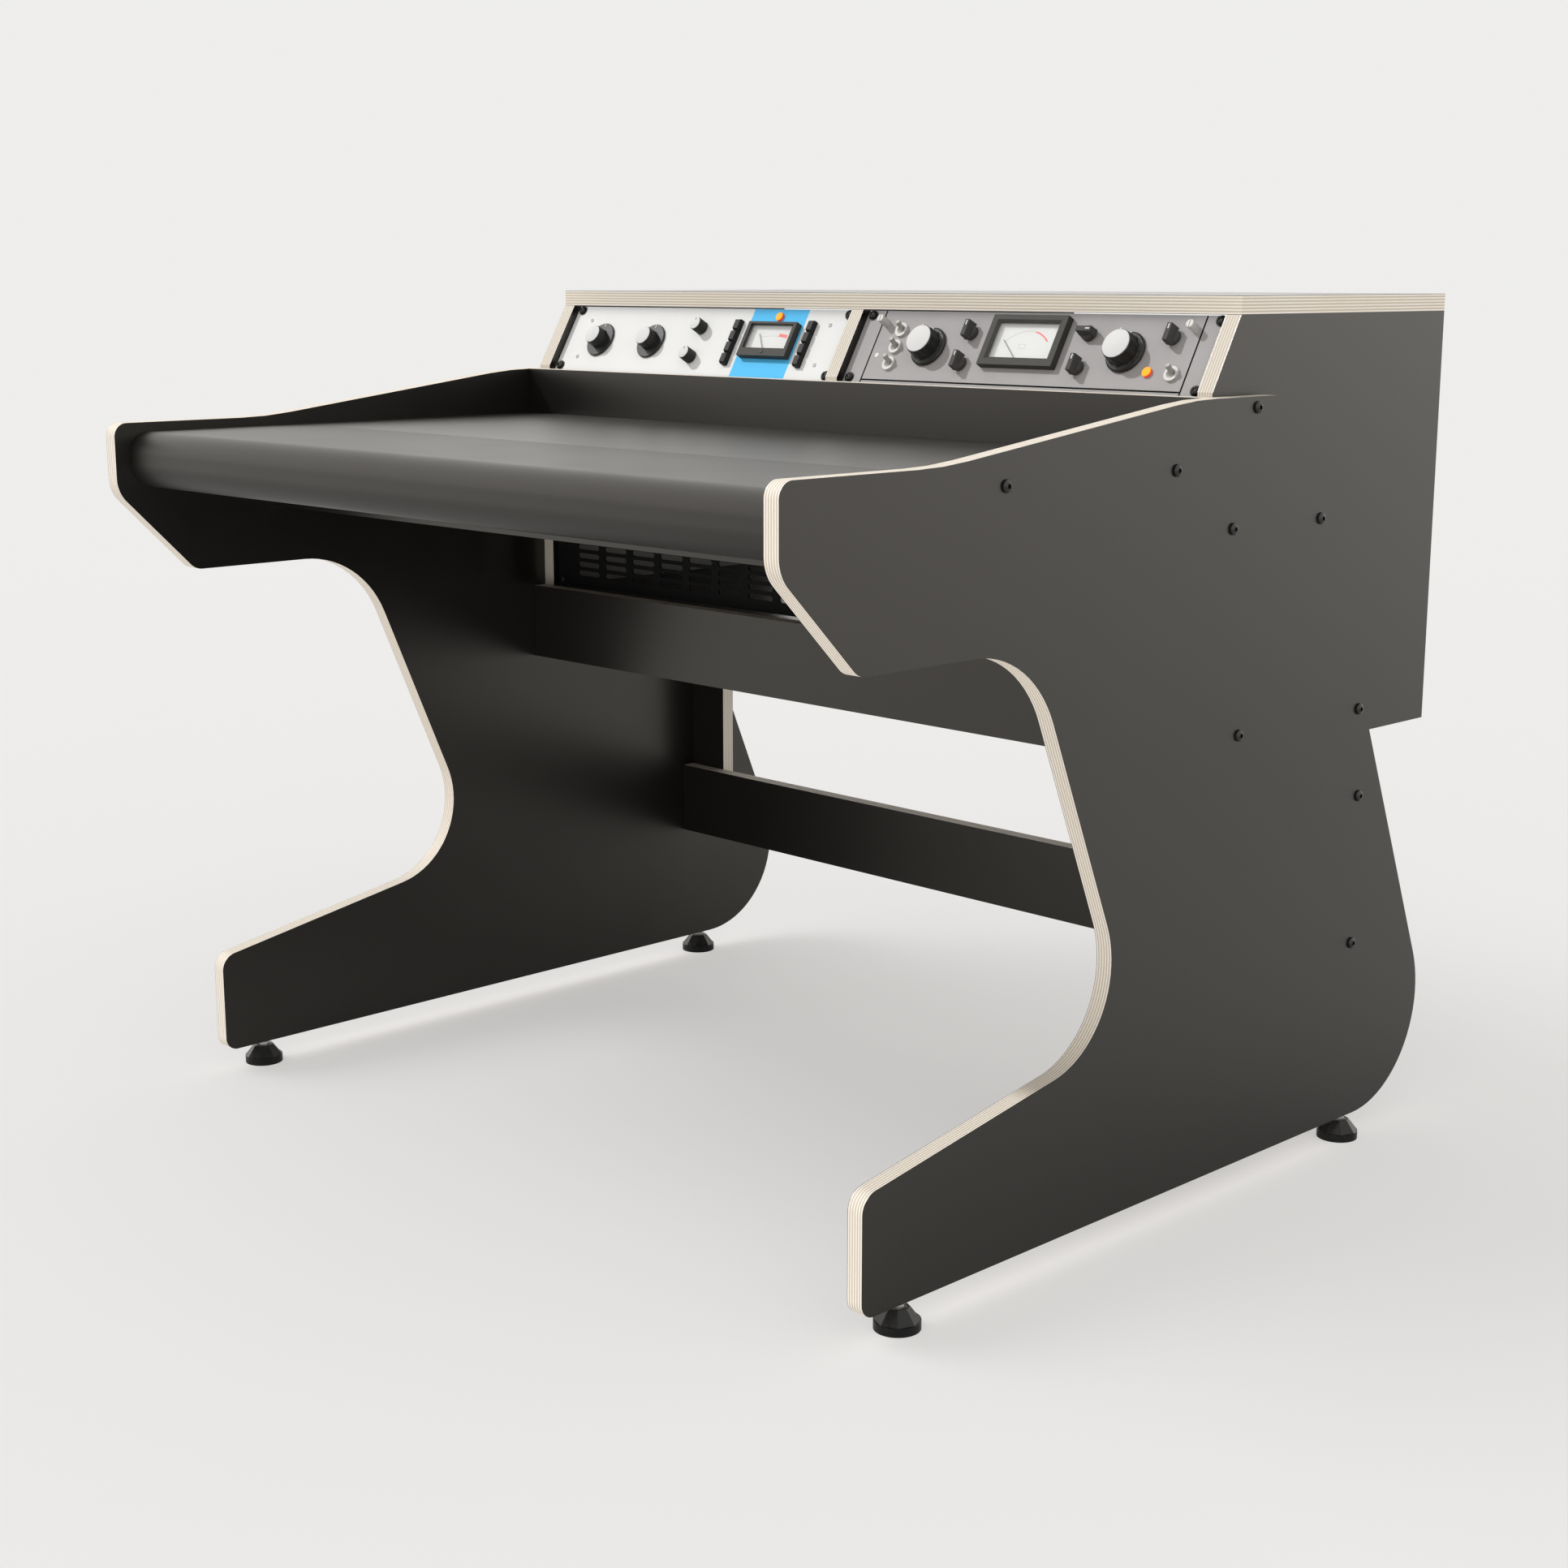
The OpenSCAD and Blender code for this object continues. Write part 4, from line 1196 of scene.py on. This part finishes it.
@dataclass(frozen=True)
class KnobShape:
    """A knob: a fluted body on its shaft, a cap, and bars that mark where it points."""

    body: Profile
    sides: int
    flutes: Flutes
    cap: Profile
    cap_sides: int
    mark: str
    bars: tuple[Bar, ...]


# The shaft's profile, from behind the faceplate up to the knob's foot
SHAFT: Profile = ((0, -12), (3, -12), (3, 0.6))

SKIRTED_KNOB = KnobShape(
    body=(*SHAFT, (21.4, 0.6), (22, 1.0), (22, 2.2), (21.2, 3.0), (12.6, 3.2), (12.3, 4.0), (12.2, 5.0),
          (12.0, 15.4), (11.6, 16.2), (10.8, 16.5), (0, 16.5)),
    sides=120,
    flutes=Flutes(count=30, cut=0.35, low=5.0, high=15.5),
    cap=((0, 16.4), (11.1, 16.4), (11.3, 16.7), (11.1, 17.1), (10.4, 17.3), (0, 17.4)),
    cap_sides=64,
    mark="tick",
    bars=(Bar(width=0.9, height=7.4, z=17.6, low=2.4, high=3.1),))

SMALL_KNOB = KnobShape(
    body=(*SHAFT, (8.1, 0.6), (8.4, 1.0), (8.4, 1.6), (8.2, 13.2), (7.9, 14.0), (7.4, 14.3), (0, 14.3)),
    sides=96,
    flutes=Flutes(count=24, cut=0.4, low=1.5, high=13.3),
    cap=((0, 14.2), (7.6, 14.2), (7.8, 14.5), (7.6, 14.9), (7.0, 15.1), (0, 15.2)),
    cap_sides=48,
    mark="mark",
    bars=(Bar(width=1.2, height=2.6, z=5.0, low=14.9, high=15.3),))

SCALLOPED_KNOB = KnobShape(
    body=(*SHAFT, (22.0, 0.6), (22.5, 1.1), (22.5, 2.6), (20.8, 4.2), (18.6, 4.6), (18.1, 5.2),
          (18.0, 6.0), (17.6, 12.0), (17.0, 18.0), (16.4, 19.4), (15.8, 19.9), (0, 19.9)),
    sides=160,
    flutes=Flutes(count=10, cut=1.5, low=5.1, high=18.1),
    cap=((0, 19.8), (15.5, 19.8), (15.7, 20.2), (15.5, 20.7), (14.9, 20.9), (0, 21.0)),
    cap_sides=80,
    mark="ticks",
    bars=(Bar(width=1.1, height=2.6, z=15.6, low=17.4, high=21.1),
          Bar(width=1.1, height=3.0, z=19.9, low=2.6, high=5.0)))


@dataclass
class RackUnit:
    """A unit in a tilted bay: faceplate, case, controls, a meter and a lamp.

    Places are X and Z on its front. The scale's centre is the meter's place
    plus the pivot, the dial's face is dial_out above the front, and the two
    inks are how far the printing stands proud of it.
    """

    plane: FacePlane
    nodes: dict[str, bpy.types.Object]
    palette: Palette
    unit: str
    lamp: Point
    meter: Point
    pivot: Point
    scale_radius: float
    scale_arc: Arc
    red_arc: Arc
    lamp_disc: Disc = Disc(radius=5.3, edge=2.7, crown=2.75, sides=48)
    dial_out: float = 1.4
    line_ink: float = 0.06
    red_ink: float = 0.08

    def build(self) -> None:
        """Dresses the nodes and adds the pieces that the part leaves to the scene."""
        dress_node(self.nodes, f"{self.unit}_faceplate", self.paint())
        dress_node(self.nodes, f"{self.unit}_chassis", self.palette.zinc)
        dress_node(self.nodes, f"{self.unit}_needle", self.palette.needle_paint)
        self.controls()
        self.scale()
        self.marks()
        self.lamp_wall()

    def paint(self) -> Finish:
        """The faceplate's paint. Each unit has its own."""
        raise NotImplementedError

    def controls(self) -> None:
        """Knobs, buttons, levers and screws. Each unit has its own."""
        raise NotImplementedError

    def marks(self) -> None:
        """Small marks on the faceplate. Each unit has its own."""
        raise NotImplementedError

    def add(self, name: str, surface: Surface, finish: Finish, slot: Slot = Slot.BLACK_PLASTIC,
            body: str = FIXED) -> bpy.types.Object:
        """Makes a piece on this unit's front.

        Args:
            name: The piece's name.
            surface: Points [x, out, z] in millimetres and faces.
            finish: Its finish.
            slot: The record's slot of its finish; not used.
            body: The body that it moves with.

        Returns:
            The new object.
        """
        return make_piece(name, surface, self.plane, finish, body)

    def knob(self, name: str, place: Point, shape: KnobShape, ink: Finish) -> None:
        """A knob's body, which stands for its plainer node, its pale cap and its marks.

        Args:
            name: Name of the node and of its body.
            place: X and Z of its shaft.
            shape: Its shape.
            ink: Finish of its marks.
        """
        body = shifted(turned(shape.body, shape.sides, shape.flutes), place)
        piece = self.add(name + "_body", body, self.palette.black_plastic, body=name)
        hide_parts(name)
        cap = shifted(turned(shape.cap, shape.cap_sides), place)
        self.add(name + "_cap", cap, self.palette.light_cap, body=name)
        bars = shifted(joined(bar.surface() for bar in shape.bars), place)
        self.add(f"{name}_{shape.mark}", bars, ink, body=name)

    def fine_lines(self) -> list[np.ndarray]:
        """Outlines of the scale's fine lines."""
        return [self.scale_arc.outline(self.needle_pivot(), self.scale_radius)]

    def needle_pivot(self) -> Point:
        """X and Z of the scale's centre, below the meter's middle."""
        return (self.meter[0] + self.pivot[0], self.meter[1] + self.pivot[1])

    def scale(self) -> None:
        """Fine lines and the red zone, printed on the dial."""
        low = self.dial_out
        lines = joined(extruded(line, low, low + self.line_ink) for line in self.fine_lines())
        self.add(f"{self.unit}_scale", lines, self.palette.faint_mark, Slot.DIAL_WHITE)
        zone = self.red_arc.outline(self.needle_pivot(), self.scale_radius)
        red = extruded(zone, low, low + self.red_ink)
        self.add(f"{self.unit}_red_zone", red, self.palette.red_mark, Slot.DIAL_WHITE)

    def lamp_wall(self) -> None:
        """Red wall of the pilot lamp, round its lens and just below the lens' bevel."""
        wall = shifted(self.lamp_disc.surface(), self.lamp)
        self.add(f"{self.unit}_lamp_wall", wall, self.palette.lamp_wall, Slot.AMBER_LENS)


@dataclass
class Compressor(RackUnit):
    """The white unit in the left bay: knobs, button columns, meter and lamp.

    The band is where its blue stripe starts and ends along X, and the screw's
    drop is how far the meter's zero screw lies below its middle.
    """

    unit: str = "compressor"
    lamp: Point = (124.0, 33.5)
    meter: Point = (124.0, 2.0)
    pivot: Point = (2.0, -103.0)
    scale_radius: float = 110.0
    scale_arc: Arc = Arc(width=0.35, start=-11.5, end=4.5)
    red_arc: Arc = Arc(width=4.0, start=4.4, end=11.6, rise=1.6)
    white: Colour = (0.705, 0.705, 0.697)
    white_worn: Colour = (0.68, 0.68, 0.667)
    band: tuple[float, float] = (76.8, 167.0)
    skirted_knobs: dict[str, Point] = field(default_factory=lambda: {
        "input_knob": (-175.0, -2.0), "output_knob": (-81.0, -2.0)})
    small_knobs: dict[str, Point] = field(default_factory=lambda: {
        "attack_knob": (0.0, 17.0), "release_knob": (0.0, -21.0)})
    button_columns: tuple[str, ...] = ("ratio", "meter")
    buttons_in_column: int = 4
    screw_drop: float = 16.6
    screw: Profile = ((0, 8.3), (2.3, 8.3), (2.3, 8.9), (1.9, 9.2), (0, 9.3))
    screw_slot: Bar = Bar(width=3.2, height=0.5, z=0.0, low=9.2, high=9.36)

    def paint(self) -> Finish:
        """White paint with an upright blue band."""
        start, end = (self.plane.x + edge for edge in self.band)
        return BandedPaint("white faceplate", self.white, self.white_worn, start=start, end=end)

    def controls(self) -> None:
        """Two columns of push buttons and four round knobs."""
        for column in self.button_columns:
            for i in range(self.buttons_in_column):
                dress_node(self.nodes, f"{column}_button_{i + 1}", self.palette.key_plastic)
        for name, place in self.skirted_knobs.items():
            self.knob(name, place, SKIRTED_KNOB, self.palette.white_mark)
        for name, place in self.small_knobs.items():
            self.knob(name, place, SMALL_KNOB, self.palette.dark_mark)

    def marks(self) -> None:
        """The meter's zero screw and its slot."""
        place = (self.meter[0], self.meter[1] - self.screw_drop)
        screw = shifted(turned(self.screw, SMALL_SIDES), place)
        self.add("compressor_zero_screw", screw, self.palette.frame_plastic)
        slot = shifted(self.screw_slot.surface(), place)
        self.add("compressor_zero_slot", slot, self.palette.dark_mark)


@dataclass
class Limiter(RackUnit):
    """The grey unit in the right bay: large knobs, pointer knobs, toggles, meter and lamp.

    The box is the middle of a plain outlined box on the dial. The grooves are
    upright ones at groove_x on both sides, as long as twice their reach, and a
    level one at groove_z. A pointer knob has its place and its clockwise turn.
    """

    unit: str = "limiter"
    lamp: Point = (167.5, -20.2)
    meter: Point = (0.0, 8.3)
    pivot: Point = (0.0, -24.6)
    scale_radius: float = 38.5
    scale_arc: Arc = Arc(width=0.4, start=-48.0, end=12.0)
    red_arc: Arc = Arc(width=1.6, start=12.0, end=46.0)
    box: Point = (-4.0, 4.3)
    box_width: float = 8.7
    box_height: float = 5.2
    box_line: float = 0.3
    grey_paint: Colour = (0.34, 0.326, 0.326)
    grey_worn: Colour = (0.305, 0.292, 0.292)
    scalloped_knobs: dict[str, Point] = field(default_factory=lambda: {
        "gain_knob": (-132.5, 0.8), "level_knob": (132.5, 0.8)})
    pointers: dict[str, tuple[Point, float]] = field(default_factory=lambda: {
        "mode_selector": ((-79.0, 18.2), 0.0),
        "attack_selector": ((-79.0, -18.0), 0.0),
        "recovery_selector": ((78.5, 20.0), 90.0),
        "meter_selector": ((78.5, -18.0), 0.0),
        "link_selector": ((184.0, 18.2), 0.0)})
    pointer_line: Bar = Bar(width=1.3, height=5.2, z=6.0, low=14.4, high=14.75)
    toggles: tuple[str, ...] = ("power", "range", "bypass", "standby")
    dot_place: Point = (-205.0, -10.0)
    ring: Disc = Disc(radius=3.1, edge=0.1, crown=0.12)
    dot: Disc = Disc(radius=2.6, edge=0.2, crown=0.26)
    groove_x: float = 214.5
    groove_z: float = -40.0
    groove_reach: float = 43.8
    groove_width: float = 1.9
    groove_floor: float = -0.9
    groove_top: float = 0.04

    def paint(self) -> Finish:
        """Grey paint."""
        return FaceplatePaint("grey faceplate", self.grey_paint, self.grey_worn)

    def controls(self) -> None:
        """Screws, toggles, two large knobs, and a white line at each pointer knob's pointing end."""
        for name in ("panel_screws", "toggle_bushings"):
            dress_node(self.nodes, name, self.palette.nickel)
        for name in self.toggles:
            # Levers in a darker copy of the nickel: painted shade
            dress_node(self.nodes, f"{name}_toggle", self.palette.lever_shaded_nickel)
        for name, place in self.scalloped_knobs.items():
            self.knob(name, place, SCALLOPED_KNOB, self.palette.white_mark)
        for name, (place, turn) in self.pointers.items():
            dress_node(self.nodes, name, self.palette.matt_plastic)
            line = shifted(self.pointer_line.surface(), place, turn)
            self.add(name + "_line", line, self.palette.white_mark, body=name)

    def fine_lines(self) -> list[np.ndarray]:
        """The scale's arc and a plain outlined box.

        The box's level lines reach past its upright ones by half a line's
        width at each end, and its upright ones do the same.

        Returns:
            Outlines, the arc's first.
        """
        x, z = self.box
        wide, high, line = self.box_width, self.box_height, self.box_line
        level = [rectangle(wide + line, line, x, z + side * high / 2) for side in (1, -1)]
        upright = [rectangle(line, high + line, x + side * wide / 2, z) for side in (-1, 1)]
        return [*super().fine_lines(), *level, *upright]

    def marks(self) -> None:
        """Round white mark in its ring, and a black filling in the grooves as painted shade."""
        ring = shifted(self.ring.surface(), self.dot_place)
        self.add("limiter_dot_ring", ring, self.palette.faint_mark, Slot.GREY_PANEL)
        dot = shifted(self.dot.surface(), self.dot_place)
        self.add("limiter_dot", dot, self.palette.white_mark, Slot.GREY_PANEL)
        # Black pieces filling the grooves, painted shade
        x, width, height = self.groove_x, self.groove_width, 2 * self.groove_reach
        lines = (rectangle(width, height, -x), rectangle(width, height, x),
                 rectangle(2 * x - width, width, 0, self.groove_z))
        filling = joined(extruded(line, self.groove_floor, self.groove_top) for line in lines)
        self.add("limiter_groove_line", filling, self.palette.groove_painted_shade, Slot.GREY_PANEL)


@dataclass
class Meters:
    """What both units have in the same form: meter frames, dials, windows and pilot lamps."""

    nodes: dict[str, bpy.types.Object]
    palette: Palette

    def build(self) -> None:
        """Finishes each of them."""
        dress_node(self.nodes, "meter_frames", self.palette.frame_plastic)
        dress_node(self.nodes, "meter_dials", self.palette.dial)
        dress_node(self.nodes, "meter_glasses", self.palette.window)
        dress_node(self.nodes, "pilot_lamps", self.palette.amber_lens)


# Studio


class Linking(Enum):
    """Whether a light's collection takes its pieces in or leaves them out."""

    ONLY = "INCLUDE"
    ALL_BUT = "EXCLUDE"


def light_group(name: str, linking: Linking, pieces: Sequence[bpy.types.Object]) -> bpy.types.Collection:
    """A collection of pieces that a light's linking takes in alone or leaves out.

    Args:
        name: The collection's name.
        linking: Whether the pieces are taken in or left out.
        pieces: The pieces.

    Returns:
        The collection.
    """
    group = bpy.data.collections.new(name)
    for piece in pieces:
        group.objects.link(piece)
    for row in group.collection_objects:
        row.light_linking.link_state = linking.value
    return group


@dataclass(frozen=True)
class Viewpoint:
    """The photograph's camera, fitted to the desk's straight edges."""

    lens: float = 55.0
    sensor: float = 36.0
    place: Vector = (1.8812, -1.8054, 0.9204)
    pitch: float = 78.014
    heading: float = 45.869

    def build(self) -> None:
        """Makes the camera, and the scene looks through it."""
        lens = bpy.data.cameras.new("camera")
        lens.lens, lens.sensor_width = self.lens, self.sensor
        camera = bpy.data.objects.new("camera", lens)
        camera.location = self.place
        camera.rotation_euler = (math.radians(self.pitch), 0.0, math.radians(self.heading))
        bpy.context.scene.collection.objects.link(camera)
        bpy.context.scene.camera = camera


@dataclass(frozen=True)
class Sun:
    """Light that comes from one way, as wide as its spread in degrees."""

    name: str
    power: float
    spread: float
    way: Vector = (-0.595, -0.40, 0.70)

    def build(self) -> bpy.types.Object:
        """Makes the light and turns it to shine from its way.

        Returns:
            The light.
        """
        data = bpy.data.lights.new(self.name, "SUN")
        data.energy, data.angle = self.power, math.radians(self.spread)
        lamp = bpy.data.objects.new(self.name, data)
        x, y, z = self.way
        lamp.rotation_euler = (math.atan2(math.hypot(x, y), z), 0.0, math.atan2(y, x) + math.pi / 2)
        bpy.context.scene.collection.objects.link(lamp)
        return lamp


@dataclass(frozen=True)
class StudioFloor:
    """A wide pale floor. Its own glow keeps shadows faint, and far away it has the backdrop's colour."""

    backdrop: Colour
    reach: float = 30.0
    tone: Colour = (0.424, 0.427, 0.428)
    clouds: Noise = Noise(3.0)
    cloud: Tint = Tint((0.404, 0.407, 0.408), Ramp(0.3, 0.7, 0.0, 0.1))
    far: Ramp = Ramp(1.8, 7.0)
    glow: Colour = (0.866, 0.846, 0.828)
    glow_seen: float = 0.515
    glow_bounced: float = 0.46
    # Less glow in reflections near the desk: painted shade for the floor under it
    glow_mirrored: Ramp = Ramp(0.4, 1.2, -0.44, -0.12)
    far_sheen: float = 0.2

    def build(self) -> bpy.types.Object:
        """Makes the floor as one square round the origin.

        Returns:
            The floor.
        """
        mesh = bpy.data.meshes.new("floor")
        corners = np.array([[-1, -1, 0], [1, -1, 0], [1, 1, 0], [-1, 1, 0]]) * self.reach
        mesh.from_pydata(corners.tolist(), [], [[0, 1, 2, 3]])
        floor = bpy.data.objects.new("floor", mesh)
        bpy.context.scene.collection.objects.link(floor)
        mesh.materials.append(self.material())
        return floor

    def material(self) -> bpy.types.Material:
        """A matt shader with a glow, mixed with the backdrop's colour by the distance.

        The glow that is seen has one strength. More of it reaches other
        surfaces as bounced light, and less of it is mirrored near the desk, as painted shade for the floor
        under it.

        Returns:
            The floor's material.
        """
        made = bpy.data.materials.new("pale floor")
        made.use_nodes = True
        bench = Bench(made.node_tree)
        place = bench.out(bench.add("ShaderNodeTexCoord"), "Object")
        away = bench.out(bench.add("ShaderNodeVectorMath", {0: place}, operation="LENGTH"), "Value")
        path = bench.add("ShaderNodeLightPath")
        bounced, mirrored = bench.out(path, "Is Diffuse Ray"), bench.out(path, "Is Glossy Ray")
        tone = self.cloud.over(self.clouds.over(place), self.tone)
        matt = bench.make("ShaderNodeBsdfDiffuse", {"Color": tone})
        # The mirrored share drops near the desk as painted shade
        share = bounced * self.glow_bounced + mirrored * self.glow_mirrored.of(away) + self.glow_seen
        own = bench.make("ShaderNodeEmission", {"Color": self.glow, "Strength": share})
        near = bench.make("ShaderNodeAddShader", {0: matt, 1: own})
        sheen = mirrored * self.far_sheen + 1.0
        distant = bench.make("ShaderNodeEmission", {"Color": self.backdrop, "Strength": sheen})
        full = self.far.of(away).between_shaders(near, distant)
        bench.add("ShaderNodeOutputMaterial", {"Surface": full})
        return made


@dataclass(frozen=True)
class Surroundings:
    """Even surroundings: one brightness where seen, one where mirrored and one for the soft light."""

    backdrop: Colour
    mirrored_tone: Colour = (1.0, 0.985, 0.955)
    mirrored: float = 1.52
    deep_share: float = 0.15
    first_depth: float = 1.5
    fill_tone: Colour = (1.0, 0.99, 0.97)
    fill: float = 0.64
    ahead: Vector = (0.72, -0.69, 0.0)
    front_share: float = 0.8

    def build(self) -> None:
        """Makes the world.

        Mirrored light is at its full strength in a first reflection, whose
        depth is below the first depth, and at the deep share of it in later
        ones. The soft light grows from 1 to 1 plus the front share, as far as a
        direction points ahead.
        """
        world = bpy.data.worlds.new("studio")
        bpy.context.scene.world = world
        world.use_nodes = True
        bench = Bench(world.node_tree)
        path = bench.add("ShaderNodeLightPath")
        show = bench.make("ShaderNodeBackground", {"Color": self.backdrop, "Strength": 1.0})
        once = bench.out(path, "Glossy Depth").below(self.first_depth)
        bright = (once * (1.0 - self.deep_share) + self.deep_share) * self.mirrored
        gloss = bench.make("ShaderNodeBackground", {"Color": self.mirrored_tone, "Strength": bright})
        way = bench.out(bench.add("ShaderNodeTexCoord"), "Generated")
        facing = bench.add("ShaderNodeVectorMath", {0: way, 1: self.ahead}, operation="DOT_PRODUCT")
        front = Ramp(0.0, 1.0, 1.0, 1.0 + self.front_share).of(bench.out(facing, "Value"))
        light = bench.make("ShaderNodeBackground", {"Color": self.fill_tone, "Strength": front * self.fill})
        soft = bench.out(path, "Is Glossy Ray").between_shaders(light, gloss)
        clear = bench.out(path, "Is Camera Ray").most(bench.out(path, "Is Transmission Ray"))
        bench.add("ShaderNodeOutputWorld", {"Surface": clear.between_shaders(soft, show)})


@dataclass(frozen=True)
class Studio:
    """Camera, pale floor and soft light."""

    backdrop: Colour = (0.855, 0.848, 0.837)
    key: Sun = Sun("key", power=2.2, spread=2.2)
    floor_wash: Sun = Sun("floor wash", power=1.0, spread=34.0)

    def build(self, shelf: bpy.types.Object, armrest: bpy.types.Object) -> None:
        """Builds everything that isn't part of the desk.

        The main light is small enough to give the knobs a clear shadow. A
        softer one of its own reaches the floor instead of it.

        Args:
            shelf: The top shelf, which keeps its shadow off the faceplates.
            armrest: The armrest, which the main light gives no hard line.
        """
        bpy.context.scene.view_settings.view_transform = "Standard"
        Viewpoint().build()
        Surroundings(self.backdrop).build()
        floor = StudioFloor(self.backdrop).build()
        key, wash = self.key.build(), self.floor_wash.build()
        lit = light_group("lit by the key", Linking.ALL_BUT, [floor, armrest])
        key.light_linking.receiver_collection = lit
        clear = light_group("throws no key shadow", Linking.ALL_BUT, [shelf])
        key.light_linking.blocker_collection = clear
        washed = light_group("lit by the floor wash", Linking.ONLY, [floor])
        wash.light_linking.receiver_collection = washed


def main() -> None:
    """Builds the scene in order and reports each piece."""
    logging.basicConfig(level=logging.INFO, format="%(name)s: %(message)s")
    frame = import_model()
    nodes = frame["nodes"]
    sizes, palette = DeskSizes(), Palette()
    Studio().build(nodes["top_shelf"], nodes["armrest"])
    Woodwork(sizes, nodes).build()
    Fittings(sizes, nodes, palette).build()
    Compressor(FacePlane.upper_bay(sizes, -1), nodes, palette).build()
    Limiter(FacePlane.upper_bay(sizes, 1), nodes, palette).build()
    Meters(nodes, palette).build()


if __name__ == "__main__":
    main()
